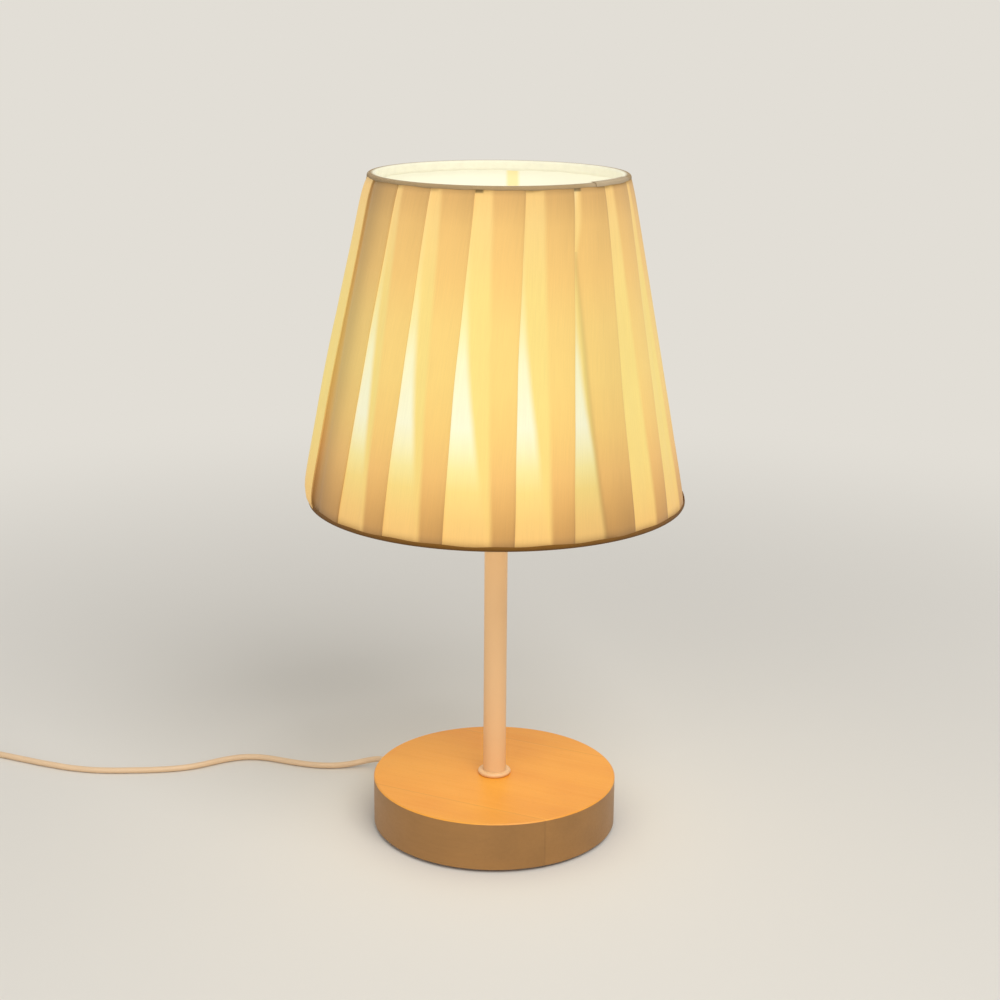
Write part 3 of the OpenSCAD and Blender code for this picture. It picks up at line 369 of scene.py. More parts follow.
def beech_wood(name, wood):
    """Planed beech staves glued side by side, under a clear matt lacquer."""
    f = Finish(name)
    x, y, z = f.parts(f.place())
    turn = wood.grain_turn
    along = x * math.cos(turn) + y * math.sin(turn)
    across = y * math.cos(turn) - x * math.sin(turn)
    stave = (across + wood.stave_shift) / wood.stave_width
    to_joint = abs((stave + 0.5).fraction() - 0.5) * wood.stave_width
    number = stave.floor()
    shift = f.dice(number) * 0.3
    bands = f.noise(f.vector(along * 5 + shift, across * 42, z * 42), detail=3.0)
    streaks = f.noise(f.vector(along * 30 + shift, across * 700, z * 700))
    flecks = f.noise(f.vector(along * 420, across * 2600, z * 2600), detail=1.0).rises(0.62, 0.72)
    clouds = f.noise(f.place(), scale=22)
    grain = (bands - 0.5) * 1.2 + (streaks - 0.5) * 0.35 + (clouds - 0.5) * 0.9 + 0.42
    face = f.blend(grain.rises(0.0, 1.0), wood.honey, wood.amber)
    # Painted shade: surfaces that do not face up take the darker rim colour, so the side is darker than the
    # top
    side = f.blend(grain.rises(-0.1, 1.1), wood.rim, [c * 0.72 for c in wood.rim])
    up = f.parts(f.add("ShaderNodeNewGeometry", output="Normal"))[2].rises(0.35, 0.75)
    body = f.blend(up, side, face)
    glue = 1 - to_joint.rises(0.1 * MM, 0.7 * MM)
    tones = 1.03 - f.dice(number + 7) * 0.06 - flecks * 0.08 - glue * 0.10
    return f.done(
        Base_Color=f.tone(body, tones),
        Roughness=0.40 + streaks * 0.14,
        Normal=f.bump(streaks * 0.6 - flecks * 0.4 - glue, depth=0.06 * MM, strength=0.6),
        Coat_Weight=0.08,
        Coat_Roughness=0.35,
    )


def foam(name, shade):
    """Closed-cell foam: fine cells with a soft skin."""
    f = Finish(name)
    cells = f.add("ShaderNodeTexVoronoi", inputs={"Vector": f.place(), "Scale": 1400})
    return f.done(
        Base_Color=f.tone(shade, 0.85 + cells * 0.5),
        Roughness=0.92,
        Normal=f.bump(cells, depth=0.2 * MM, strength=0.6),
    )


def painted(name, shade):
    """Powder coat: an even colour with a fine orange peel and a few softer, rubbed places."""
    f = Finish(name)
    place = f.place()
    peeled = f.noise(place, scale=900, detail=1.0)
    rubbed = f.noise(place, scale=30, detail=3.0)
    return f.done(
        Base_Color=f.tone(shade, 0.97 + rubbed * 0.05),
        Roughness=0.34 + rubbed * 0.16,
        Normal=f.bump(peeled, depth=0.03 * MM),
    )


def moulded(name, shade, roughness, grain=0.02 * MM):
    """Injection-moulded plastic: faint flow marks and a slightly uneven gloss."""
    f = Finish(name)
    place = f.place()
    flow = f.noise(place, scale=60, detail=3.0)
    spark = f.noise(place, scale=2200, detail=1.0)
    return f.done(
        Base_Color=f.tone(shade, 0.965 + flow * 0.07),
        Roughness=roughness - 0.05 + flow * 0.12,
        Normal=f.bump(spark, depth=grain),
    )


def metal(name, shade, roughness=0.28, stain=0.18):
    """Plated or rolled metal: turning marks and dull stains."""
    f = Finish(name)
    place = f.place()
    x, y, z = f.parts(place)
    marks = f.noise(f.vector(x * 120, y * 120, z * 5200))
    stains = f.noise(place, scale=130, detail=4.0)
    return f.done(
        Base_Color=f.tone(shade, 1.04 - stains * stain),
        Metallic=1.0,
        Roughness=roughness - 0.08 + marks * 0.12 + stains * 0.10,
        Normal=f.bump(marks, depth=0.01 * MM, strength=0.4),
    )


def sheath(shade):
    """Soft plastic sheath of the cord: a satin skin with a fine grain, duller where it is rubbed."""
    f = Finish("cord_sheath")
    place = f.place()
    rubbed = f.noise(place, scale=90, detail=3.0)
    grain = f.noise(place, scale=1800, detail=1.0)
    return f.done(
        Base_Color=f.tone(shade, 0.93 + rubbed * 0.13),
        Roughness=0.36 + rubbed * 0.14,
        Normal=f.bump(rubbed * 0.7 + grain * 0.3, depth=0.05 * MM),
    )


def ceramic(name, shade):
    """Fired ceramic or glass: fine dark specks and shallow pits."""
    f = Finish(name)
    place = f.place()
    specks = f.noise(place, scale=1500).rises(0.66, 0.74)
    pits = f.noise(place, scale=700)
    return f.done(
        Base_Color=f.tone(shade, 1 - specks * 0.25),
        Roughness=0.55 + pits * 0.2,
        Normal=f.bump(pits, depth=0.05 * MM),
    )


def lit_skin(f, body, share_lit, tones=1.0):
    """A pale translucent skin that is lit from inside: part of its colour is its own light."""
    fibres = f.noise(f.place(), scale=650, detail=3.0)
    full = f.tone(body, tones * (0.985 + fibres * 0.03))
    return f.done(
        Base_Color=f.tone(full, 1 - share_lit),
        Roughness=0.5 + fibres * 0.2,
        Normal=f.bump(fibres, depth=0.03 * MM, strength=0.4),
        Emission_Color=f.tone(full, share_lit),
        Emission_Strength=1.0,
    )


def opal_globe(name, shade):
    """Opal plastic of the lit bulb."""
    return lit_skin(Finish(name), shade, share_lit=0.7)


# The lining's double seam at the back, in degrees from +X, and how softly its sides show
SEAM_FROM = 81
SEAM_TO = 86.5
SEAM_EDGE = 1.1


def lining_sheet(name, shade):
    """White laminate of the lining, lit by the bulb, with a yellower double seam at the back."""
    low, high = (v.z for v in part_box("shade_lining"))
    f = Finish(name)
    x, y, z = f.parts(f.place())
    turn = y.arctan2(x) * (180 / math.pi)
    past_from, past_to = (turn.rises(at - SEAM_EDGE, at + SEAM_EDGE) for at in (SEAM_FROM, SEAM_TO))
    up = (z - low) / (high - low)
    body = f.blend(past_from - past_to, shade.lining, shade.seam)
    # Painted light: the lining is brightest about a third of the way up and a little darker towards the top
    return lit_skin(f, body, share_lit=0.62, tones=1.02 - abs(up - 0.35).rises(0.25, 0.75) * 0.03)


# Distance from thread to thread in the cloth, and from rib to rib in the tapes
CLOTH_THREADS = 0.42 * MM
TAPE_RIBS = 0.5 * MM

# Colours of the lit pleats from foot to top, as (height share, screen colour), for one to three layers
ONE_LAYER = [
    (0.00, (250, 198, 118)), (0.08, (253, 208, 122)), (0.16, (253, 222, 132)), (0.22, (254, 236, 158)),
    (0.28, (255, 246, 192)), (0.34, (255, 251, 214)), (0.42, (255, 251, 210)), (0.52, (255, 249, 200)),
    (0.62, (254, 240, 172)), (0.72, (254, 232, 152)), (0.90, (254, 222, 146)), (1.00, (255, 226, 160)),
]
TWO_LAYERS = [
    (0.02, (252, 202, 117)), (0.10, (253, 212, 122)), (0.20, (253, 221, 129)), (0.40, (253, 226, 133)),
    (0.70, (254, 224, 133)), (0.90, (254, 216, 134)), (0.98, (252, 207, 127)),
]
THREE_LAYERS = [
    (0.00, (196, 146, 84)), (0.05, (214, 161, 89)), (0.12, (232, 178, 100)), (0.20, (246, 194, 112)),
    (0.32, (252, 208, 119)), (0.465, (254, 216, 125)), (0.61, (253, 214, 125)), (0.75, (250, 204, 119)),
    (0.89, (243, 196, 116)), (0.985, (224, 176, 105)),
]


def layer_colours(f, up, across):
    """The lit cloth's colour, from the number of layers that lie at a point."""
    one, two, three = (
        f.add("ShaderNodeValToRGB", {"stops": [(at, srgb(*c)) for at, c in stops]}, {"Fac": up})
        for stops in (ONE_LAYER, TWO_LAYERS, THREE_LAYERS)
    )
    waver = (f.noise(f.vector(across * 90, up * 5, 0.0)) - 0.5) * 1.2 * MM
    past_wedge = (f.reads("past_wedge") + waver).rises(-2.6 * MM, 1.4 * MM)
    past_strip = (f.reads("past_strip") + waver).rises(-1.8 * MM, 1.6 * MM)
    return f.blend(past_strip, f.blend(past_wedge, one, two), three)


def cloth_shadows(f, up):
    """Painted shade: how much darker the cloth is in its threefold strips near the rims, beside its folds,
    in its crease and gaps, and next to the tapes, less a little painted highlight just right of each fold.
    """
    past_fold = f.reads("past_fold")
    near_rims = abs(up - 0.5).rises(0.22, 0.5)
    threefold = f.reads("past_strip").rises(4 * MM, 15 * MM) * (0.03 + near_rims * 0.07)
    fold_edge = (1 - f.reads("to_fold").rises(0.2 * MM, 1.4 * MM)) * (0.03 + near_rims * 0.05)
    crease = (1 - abs(f.reads("past_crease")).rises(0.0, 2.6 * MM)) * 0.15
    beside = past_fold.rises(0.1 * MM, 0.6 * MM) * (1 - past_fold.rises(3.6 * MM, 5.0 * MM))
    gap_shadow = up.rises(0.981, 0.986) * beside * f.reads("gap") * 0.5
    tape_shade = up.rises(0.974, 0.992) * 0.20 + (1 - up.rises(0.012, 0.036)) * 0.15
    lit_fold = (1 - past_fold.rises(0.0, 7 * MM)) * 0.015
    return threefold + fold_edge + crease + gap_shadow + tape_shade - lit_fold


def pleated_cloth(shade):
    """Thin cotton, lit from inside: bright where it is single, deeper where layers lie on each other."""
    f = Finish("shade_cloth")
    up = f.reads("up")
    across = f.reads("across")
    threads = f.noise(f.vector(across * 1600, up * 9, 0.0))
    clouds = f.noise(f.place(), scale=26)
    tones = 0.97 + (threads - 0.5) * 0.08 + (clouds - 0.5) * 0.05 - cloth_shadows(f, up)
    full = f.tone(layer_colours(f, up, across), tones * f.reads("evenness"))
    weft, warp = ((number * (math.tau / CLOTH_THREADS)).sine() for number in (f.reads("rise"), across))
    return f.done(
        Base_Color=f.tone(full, 1 - shade.glow + threads * 0.02),
        Roughness=0.82 + threads * 0.1,
        Normal=f.bump(warp * weft * 0.5 + threads, depth=0.08 * MM),
        Emission_Color=f.tone(full, shade.glow + threads * 0.02),
        Emission_Strength=1.0,
        Sheen_Weight=0.15,
    )


def woven_tape(tape, outside, doubled, inside):
    """Narrow woven tape: fine ribs, a doubled end that is paler as a painted highlight, an outer edge
    lighter or darker as painted light and shade, and the bulb's light painted as glow on its inner side.
    """
    f = Finish(tape.name)
    across = f.reads("width")
    ribs = (f.reads("along") * (math.tau / TAPE_RIBS)).sine()
    threads = (across * (math.tau / TAPE_RIBS) * 1.4).sine()
    wear = f.noise(f.place(), scale=240, detail=3.0)
    inwards = (across - tape.shows).rises(1.0 * MM, 3.4 * MM)
    # Painted light and shade: a tape's outer edge lighter or darker than the rest of it
    edge_shade_mask = 1 - across.rises(0.0, tape.shows)
    tones = 0.90 + wear * 0.16 + ribs * 0.03 + edge_shade_mask * tape.edge_gain
    face = f.blend(f.reads("doubled"), outside, doubled)
    full = f.tone(f.blend(inwards, face, inside), tones)
    return f.done(
        Base_Color=f.tone(full, 1 - inwards * 0.55),
        Roughness=0.85,
        Normal=f.bump(ribs + threads * 0.5 + wear, depth=0.08 * MM, strength=0.6),
        Emission_Color=f.tone(full, inwards * 0.55),
        Emission_Strength=1.0,
        Sheen_Weight=0.08,
        Specular_IOR_Level=0.25,
    )


# Pieces

def give(slot, material):
    """Gives every solid of one of the record's material slots its material."""
    for part in frame["record"]["subparts"]:
        if part["material_slot"] == slot:
            slots = frame["nodes"][part["node"]].data.materials
            slots.clear()
            slots.append(material)


def dress(slot, finish, *values, **more):
    """Makes a finish that is named as one of the material slots, and gives it to the slot's solids."""
    give(slot, finish(slot, *values, **more))


def new_object(name, data):
    """Adds an object to the scene."""
    made = bpy.data.objects.new(name, data)
    bpy.context.scene.collection.objects.link(made)
    return made


def add_piece(name, data, material, body, stands_for):
    """Adds a piece that rides on a body and stands for solids of the frame."""
    piece = new_object(name, data)
    data.materials.append(material)
    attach(piece, body)
    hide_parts(*stands_for)
    return piece


def grid_mesh(name, rows, closed, numbers):
    """A smooth mesh of quads between rows of points, with numbers stored at each point."""
    wide = len(rows[0])
    mesh = bpy.data.meshes.new(name)
    bm = bmesh.new()
    points = [bm.verts.new(p) for row in rows for p in row]
    for r in range(len(rows) - 1):
        for c in range(wide if closed else wide - 1):
            a = r * wide + c
            b = r * wide + (c + 1) % wide
            face = bm.faces.new((points[a], points[b], points[b + wide], points[a + wide]))
            face.smooth = True
    bm.to_mesh(mesh)
    bm.free()
    for key, values in numbers.items():
        mesh.attributes.new(key, "FLOAT", "POINT").data.foreach_set("value", values)
    return mesh


def thicken(piece, thickness):
    """Gives a sheet its thickness, half of it to each side."""
    skin = piece.modifiers.new("thickness", "SOLIDIFY")
    skin.thickness = thickness
    skin.offset = 0


def cord_curve(name, points, radius):
    """A round curve through points."""
    curve = bpy.data.curves.new(name, "CURVE")
    curve.dimensions = "3D"
    curve.bevel_depth = radius
    curve.bevel_resolution = 4
    curve.resolution_u = 4
    curve.use_fill_caps = True
    spline = curve.splines.new("BEZIER")
    spline.bezier_points.add(len(points) - 1)
    for knot, point in zip(spline.bezier_points, points):
        knot.co = point
        knot.handle_left_type = "AUTO"
        knot.handle_right_type = "AUTO"
    return curve


# The free cord's route in millimetres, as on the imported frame
LEAD_ROUTE = [
    (-68, 67, 6.3), (-73.5, 69, 4.9), (-80, 69, 3.4), (-87, 68.2, 2.3), (-95, 67.5, 1.8),
    (-103, 67.5, 1.8), (-111, 69, 1.8), (-119, 71.5, 1.8), (-127, 74.5, 1.8), (-135, 77.5, 1.8),
    (-143, 79, 1.8), (-151, 78.5, 1.8), (-159, 75.5, 1.8), (-166, 71.5, 1.8), (-173, 67, 1.8),
    (-180, 63.5, 1.8), (-188, 61, 1.8), (-196, 59.5, 1.8), (-204, 58.5, 1.8), (-212, 58, 1.8),
    (-220, 57.5, 1.8), (-228, 57.5, 1.8), (-236, 58, 1.8), (-244, 59.5, 1.8), (-252, 61.5, 1.8),
    (-260, 64.5, 1.8), (-268, 67.5, 1.8), (-276, 71, 1.8), (-284, 74.5, 1.8), (-292, 78, 1.8),
    (-300, 81.5, 1.8), (-308, 84.5, 2.3), (-316, 86.5, 3.7), (-324, 87.7, 5.7),
]
LINK_ROUTE = [(-411, 88, 6.2), (-418, 88, 4.4), (-425, 88, 2.7), (-430, 88, 2)]
TAIL_ROUTE = [(-466, 51, 13.2), (-466, 43, 11), (-466, 35, 8.6), (-466, 29, 7.3)]
CORD_LEAVES_AT = 135
RELIEF_TIP_RADIUS = 86.5
CORD_EXIT_HEIGHT = 7
LAY_HEIGHT = 1.8
SWITCH_ENDS = (-338, -400)
SWITCH_LINE = 88
COIL_MIDDLE = (-440, 62)
COIL_TURN_POINTS = 24
COIL_START_TURN = 90
PLUG_START = (-466, 21, 7)
# How far the cord runs straight at a fitting and beside the coil, and the part of a turn in which it climbs
STRAIGHT_END = 4
COIL_LEAD = 2
CLIMB_TURNS = 0.5


def coil_points(cord):
    """The coil's turns, which spiral in and out at a steady rate and climb a layer at each reversal."""
    step = (cord.diameter + cord.coil_gap) / MM
    layer_turns = cord.coil_turns / cord.coil_layers
    outer = cord.coil_radius / MM
    last = cord.coil_layers - 1
    points = []
    for i in range(round(cord.coil_turns * COIL_TURN_POINTS) + 1):
        t = i / COIL_TURN_POINTS
        layer = min(int(t / layer_turns), last)
        part = t / layer_turns - layer
        swing = part if layer % 2 == 0 else 1 - part
        near = max(1, min(last, math.floor(t / layer_turns + 0.5)))
        climbed = max(0.0, min(1.0, (t - near * layer_turns) / CLIMB_TURNS + 0.5))
        climb = near - 1 + (1 - math.cos(math.pi * climbed)) / 2
        radius = outer - swing * layer_turns * step
        point = polar(radius, COIL_START_TURN + 360 * t, LAY_HEIGHT + climb * step)
        points.append(point + Vector((*COIL_MIDDLE, 0)))
    return points


def lead_points():
    """The cord's way from the strain relief to the switch."""
    start, straight = (
        polar(RELIEF_TIP_RADIUS + out, CORD_LEAVES_AT, CORD_EXIT_HEIGHT) for out in (0, STRAIGHT_END)
    )
    near = Vector((SWITCH_ENDS[0], SWITCH_LINE, CORD_EXIT_HEIGHT))
    return [start, straight, *map(Vector, LEAD_ROUTE), near + Vector((STRAIGHT_END, 0, 0)), near]


def plug_points(cord):
    """The cord's way from the switch over the coil to the plug."""
    far = Vector((SWITCH_ENDS[1], SWITCH_LINE, CORD_EXIT_HEIGHT))
    coil = coil_points(cord)
    coil_in = coil[0] + Vector((cord.diameter / MM, 0, 0))
    coil_out = coil[-1] - Vector((0, cord.diameter / MM, 0))
    plug = Vector(PLUG_START)
    return [
        far, far - Vector((STRAIGHT_END, 0, 0)), *map(Vector, LINK_ROUTE),
        coil_in + Vector((COIL_LEAD, 0, 0)), *coil, coil_out,
        coil_out - Vector((0, COIL_LEAD, 0)), *map(Vector, TAIL_ROUTE),
        plug + Vector((0, STRAIGHT_END, 0)), plug,
    ]


class LAMP_OT_place_camera(Operator):
    """Place the camera at the photograph's viewing angle"""

    bl_idname = "lamp.place_camera"
    bl_label = "Place Camera"

    def execute(self, context):
        stage = context.scene.lamp_stage
        camera = bpy.data.cameras.new("camera")
        camera.lens = stage.focal_length
        camera.sensor_width = 36
        camera.clip_start = 0.01
        camera.clip_end = 200
        eye = new_object("camera", camera)
        eye.matrix_world = (
            Matrix.Translation(stage.eye)
            @ Matrix.Rotation(math.pi / 2 - stage.pitch, 4, "X")
            @ Matrix.Rotation(stage.roll, 4, "Z")
        )
        context.scene.camera = eye
        return {"FINISHED"}


class LAMP_OT_lay_cord(Operator):
    """Lay the free cord from the base to the switch, and from there over its coil to the plug"""

    bl_idname = "lamp.lay_cord"
    bl_label = "Lay Cord"

    def execute(self, context):
        cord = context.scene.lamp_cord
        skin = sheath(cord.sheath)
        switch = [n for n in frame["nodes"] if n.startswith(("switch_", "rocker_"))]
        plug = [n for n in frame["nodes"] if n.startswith("plug_")]
        self.add_cord(
            "cord_to_switch", lead_points(), cord, skin,
            stands_for=["cord_lead"], far_end="fitting", lay="loose", pieces=["strain_relief", *switch],
        )
        self.add_cord(
            "cord_to_plug", plug_points(cord), cord, skin,
            stands_for=["cord_link", "cord_coil", "cord_tail"], far_end="plug", lay="coiled", pieces=plug,
        )
        give("cord_plastic", skin)
        return {"FINISHED"}

    @staticmethod
    def add_cord(name, route, cord, skin, stands_for, far_end, lay, pieces):
        points = [p * MM for p in route]
        curve = cord_curve(name, points, cord.diameter / 2)
        piece = add_piece(name, curve, skin, "stand", stands_for)


class LAMP_OT_finish_base(Operator):
    """Give the base its wood, its foam pad and its hardware"""

    bl_idname = "lamp.finish_base"
    bl_label = "Finish Base"

    def execute(self, context):
        finish = context.scene.lamp_finish
        dress("beech_wood", beech_wood, context.scene.lamp_wood)
        dress("dark_foam", foam, finish.foam)
        dress("zinc_steel", metal, finish.zinc)
        return {"FINISHED"}


class LAMP_OT_finish_pole(Operator):
    """Paint the pole and the ring at its foot"""

    bl_idname = "lamp.finish_pole"
    bl_label = "Finish Pole"

    def execute(self, context):
        dress("white_paint", painted, context.scene.lamp_finish.paint)
        return {"FINISHED"}


class LAMP_OT_finish_holder(Operator):
    """Give the bulb holder its plastic, ceramic and brass, and the cores their insulation"""

    bl_idname = "lamp.finish_holder"
    bl_label = "Finish Holder"

    def execute(self, context):
        finish = context.scene.lamp_finish
        dress("holder_plastic", moulded, finish.holder, roughness=0.32)
        dress("block_ceramic", ceramic, finish.ceramic)
        dress("brass", metal, finish.brass, roughness=0.30, stain=0.25)
        dress("brown_core", moulded, finish.live, roughness=0.4)
        dress("blue_core", moulded, finish.neutral, roughness=0.4)
        return {"FINISHED"}


class LAMP_OT_finish_bulb(Operator):
    """Light the bulb's globe and finish its body, board and cap"""

    bl_idname = "lamp.finish_bulb"
    bl_label = "Finish Bulb"

    def execute(self, context):
        finish = context.scene.lamp_finish
        dress("opal_globe", opal_globe, finish.globe)
        dress("bulb_plastic", moulded, finish.holder, roughness=0.42)
        dress("board_white", moulded, finish.board, roughness=0.45)
        dress("board_green", moulded, finish.driver, roughness=0.4)
        dress("cap_metal", metal, finish.cap, roughness=0.26, stain=0.12)
        dress("black_glass", ceramic, finish.insulator)
        return {"FINISHED"}


class LAMP_OT_finish_shade_frame(Operator):
    """Paint the shade's wire frame and light its lining"""

    bl_idname = "lamp.finish_shade_frame"
    bl_label = "Finish Shade Frame"

    def execute(self, context):
        dress("frame_paint", painted, context.scene.lamp_finish.wire)
        dress("lining", lining_sheet, context.scene.lamp_shade)
        return {"FINISHED"}


def shade_cone():
    """A function for the shade's outer radius at a height, fixed by the lower edges of its tapes."""
    foot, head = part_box("bottom_tape"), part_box("top_tape")
    foot_z, foot_r = foot[0].z, foot[1].x
    slope = (head[1].x - foot_r) / (head[0].z - foot_z)
    return lambda z: foot_r + slope * (z - foot_z)


# How deep the three layers of a pleat lie below the shade's outer face
TOP_LAYER = 0.6 * MM
MIDDLE_LAYER = 1.05 * MM
DEEP_LAYER = 1.5 * MM
# A fold's turned edge, as (sideways, inwards) in its radii from the end of the pleat's face
FOLD_RADIUS = (MIDDLE_LAYER - TOP_LAYER) / 2
FOLD_BEND = ((0.8, 0.4), (1.0, 1.0), (0.8, 1.6))
# How the folds waver: (degrees, waves over the height, steps of phase), and the step from fold to fold
FOLD_WAVES = ((0.12, 1.4, 1), (0.06, 3.3, 2))
FOLD_PHASE = 0.618
# The widest threefold strip as a share of its pleat, and the width over which the face climbs beside it
WIDEST_OVERLAP = 0.9
CLIMB = 4.5 * MM
# Further off than any mark in the cloth
FAR = 50 * MM
# The soft crease in one pleat: the height share of its top, its place at the foot, and its bend
CREASED_PLEAT = 1
CREASE_TOP = 0.83
CREASE_FOOT = 0.5
CREASE_BEND = 0.8
# That pleat puckers higher up: from these height shares on, a single and a double band widen, both brighter
# as painted light
PUCKER_FROM = 0.88
PUCKER_WIDTH = 3 * MM
BAND_FROM = 0.72
BAND_RUN = 0.2
BAND_WIDTH = 4 * MM
# Pleats with a painted shadow in the gap under the upper tape beside their left fold, and how much of one
# the others have
GAPPED_PLEATS = (1, 5, 9, 12, 18)
SMALL_GAP = 0.15
# How the single-layer wedge of a pleat narrows on its way up
WEDGE_BEND = 1.15
# The pleat that stands off the shade, and from which height share on it falls back towards the top
PROUD_PLEAT = 14
PROUD = 4.4 * MM
PROUD_AT_TOP = 0.38
PROUD_FROM = 0.3
PROUD_RUN = 0.6
PROUD_SQUARENESS = 20
# Where across that pleat it stands out most, and the share of this that is left at its fold
PUFFED_AT = 0.35
FOLD_LIFT = 0.55
# The pleat after it, where the strip's two ends lie together: how much darker it is on its left, as painted
# shade
JOINED_PLEAT = 15
JOINED_LOSS = 0.27
JOINED_FROM = 0.2
JOINED_RUN = 0.7
# How bright the turned edge of a fold is beside its face, darker as painted shade
TURN_SHARE = 0.82
# How far the cloth swells out between the tapes that draw it in
SWELL = 0.8 * MM
SWELL_SQUARENESS = 16
CLOTH_ROWS = 44
FACE_STATIONS = (0.0, 0.03, 0.09, 0.17, 0.26, 0.35, 0.44, 0.52, 0.60, 0.68, 0.76, 0.84, 0.92, 0.97, 1.0)
UNDER_STATIONS = (0.03, 0.35, 0.70, 0.97)


def between_rims(up, squareness):
    """0 at both rims and 1 between them, over more of the height for a higher squareness."""
    return 1 - abs(2 * up - 1) ** squareness


class Pleating:
    """Where the folds and layers of the strip lie. up is a share of the cloth's height."""

    def __init__(self, shade):
        self.shade = shade
        self.radius = shade_cone()
        self.low, self.high = (v.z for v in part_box("shade_fabric"))

    def own(self, values, i):
        """A pleat's own number. Pleats past the last number begin again with the first."""
        return values[i % self.shade.pleats % len(values)]

    def fold_angle(self, i, up):
        """Where a fold lies, in degrees from +X: it leans, bows and wavers on its way up."""
        shade = self.shade
        drift = mix(self.own(shade.foot_drift, i), self.own(shade.top_drift, i), up)
        turn = math.degrees(shade.fold_turn + shade.fold_lean * up)
        phase = (i % shade.pleats) * FOLD_PHASE
        waver = sum(
            size * math.sin(math.tau * (waves * up + steps * phase)) for size, waves, steps in FOLD_WAVES
        )
        bow = math.degrees(shade.fold_bow) * math.sin(math.pi * up)
        return -90 + turn + 360 / shade.pleats * i + drift + waver + bow

    def overlap(self, i, up):
        """Width of the threefold strip left of a fold."""
        shade = self.shade
        widest = WIDEST_OVERLAP * math.tau / shade.pleats * self.radius(mix(self.low, self.high, up))
        usual = mix(shade.overlap_foot, shade.overlap_top, up)
        return min(widest, usual * self.own(shade.overlap_uneven, i))

    def strip_length(self, up):
        """Length of the strip at one height before it is folded."""
        r = self.radius(mix(self.low, self.high, up))
        return math.tau * r + 2 * sum(self.overlap(i, up) for i in range(self.shade.pleats))

    def layer_edges(self, i, up, arc):
        """How far right of its left fold a pleat is no longer single, becomes threefold, and is creased."""
        strip_at = arc - self.overlap(i, up)
        reach = self.own(self.shade.single_reach, i)
        wedge_at = strip_at * (1 - up / reach) ** WEDGE_BEND if up < reach else -FAR
        crease_at = None
        if i == PROUD_PLEAT:
            strip_at = 2 * arc
        if i == JOINED_PLEAT:
            strip_at = -FAR
        if i == CREASED_PLEAT:
            crease_at = CREASE_FOOT * arc * max(0.0, 1 - up / CREASE_TOP) ** CREASE_BEND
            pucker = PUCKER_WIDTH * (up - PUCKER_FROM) / (1 - PUCKER_FROM)
            strip_at = max(crease_at, BAND_WIDTH * smooth((up - BAND_FROM) / BAND_RUN))
            wedge_at = max(min(wedge_at, crease_at), pucker)
        return wedge_at, strip_at, crease_at

    def section(self, i, up, arc):
        """One pleat's points as the cloth runs, as (distance past its left fold, depth, whether hidden)."""
        before, here = self.overlap(i - 1, up), self.overlap(i, up)
        falls_back = mix(1, PROUD_AT_TOP, smooth((up - PROUD_FROM) / PROUD_RUN))
        puff = PROUD * between_rims(up, PROUD_SQUARENESS) * falls_back if i == PROUD_PLEAT else 0.0

        def lift(u):
            towards_fold = smooth((u - PUFFED_AT) / (1 - PUFFED_AT))
            return puff * smooth(u / PUFFED_AT) * mix(1, FOLD_LIFT, towards_fold)

        def depth(u):
            climbed = smooth((u * arc - (arc - here) + CLIMB) / CLIMB)
            return mix(DEEP_LAYER, TOP_LAYER, climbed) - lift(u)

        at_fold = lift(1)
        return [
            *((before * (t - 1), DEEP_LAYER, True) for t in UNDER_STATIONS),
            *((u * arc, depth(u), False) for u in FACE_STATIONS),
            *((arc + x * FOLD_RADIUS, TOP_LAYER + y * FOLD_RADIUS - at_fold, True) for x, y in FOLD_BEND),
            *((arc - here * t, MIDDLE_LAYER - at_fold * smooth(1 - t), True) for t in UNDER_STATIONS),
            (arc - here - FOLD_RADIUS, (MIDDLE_LAYER + DEEP_LAYER) / 2, True),
        ]

    def evenness(self, i, up, past, arc):
        """Painted light: a point's lit brightness beside the usual."""
        shade = self.shade
        evenness = mix(self.own(shade.foot_lit_brightness, i), self.own(shade.top_lit_brightness, i), up)
        if i == JOINED_PLEAT:
            evenness *= 1 - JOINED_LOSS * (1 - smooth((past - JOINED_FROM * arc) / (JOINED_RUN * arc)))
        return evenness * TURN_SHARE if past > arc else evenness

    def row(self, up):
        """The strip's points at one height, each with the numbers that its finish reads."""
        row = []
        z = mix(self.low, self.high, up)
        r = self.radius(z) + SWELL * between_rims(up, SWELL_SQUARENESS)
        for i in range(self.shade.pleats):
            left, right = self.fold_angle(i, up), self.fold_angle(i + 1, up)
            arc = math.radians(right - left) * r
            wedge_at, strip_at, crease_at = self.layer_edges(i, up, arc)
            for past, inset, hidden in self.section(i, up, arc):
                row.append((polar(r - inset, left + math.degrees(past / r), z), {
                    "up": up,
                    "rise": up * (self.high - self.low),
                    "across": past + i * 2 * FAR,
                    "past_fold": past,
                    "to_fold": FAR if hidden else arc - past,
                    "past_wedge": FAR if hidden else past - wedge_at,
                    "past_strip": FAR if hidden else past - strip_at,
                    "past_crease": past - crease_at if crease_at and not hidden else FAR,
                    "gap": 1.0 if i in GAPPED_PLEATS else SMALL_GAP,
                    "evenness": self.evenness(i, up, past, arc),
                }))
        return row


class LAMP_OT_pleat_shade(Operator):
    """Fold one strip of cloth into knife pleats round the shade"""

    bl_idname = "lamp.pleat_shade"
    bl_label = "Pleat Shade"

    def execute(self, context):
        shade = context.scene.lamp_shade
        cloth = Pleating(shade)
        rows = [cloth.row(r / CLOTH_ROWS) for r in range(CLOTH_ROWS + 1)]
        marks = [mark for row in rows for point, mark in row]
        numbers = {name: [mark[name] for mark in marks] for name in marks[0]}
        mesh = grid_mesh("pleated_cloth", [[point for point, mark in row] for row in rows], True, numbers)
        piece = add_piece(
            "pleated_cloth", mesh, pleated_cloth(shade), "shade", ["shade_fabric"]
        )
        thicken(piece, shade.cloth)
        slant = math.hypot(cloth.high - cloth.low, cloth.radius(cloth.low) - cloth.radius(cloth.high))
        strip = (cloth.strip_length(0) + cloth.strip_length(1)) / 2
        return {"FINISHED"}
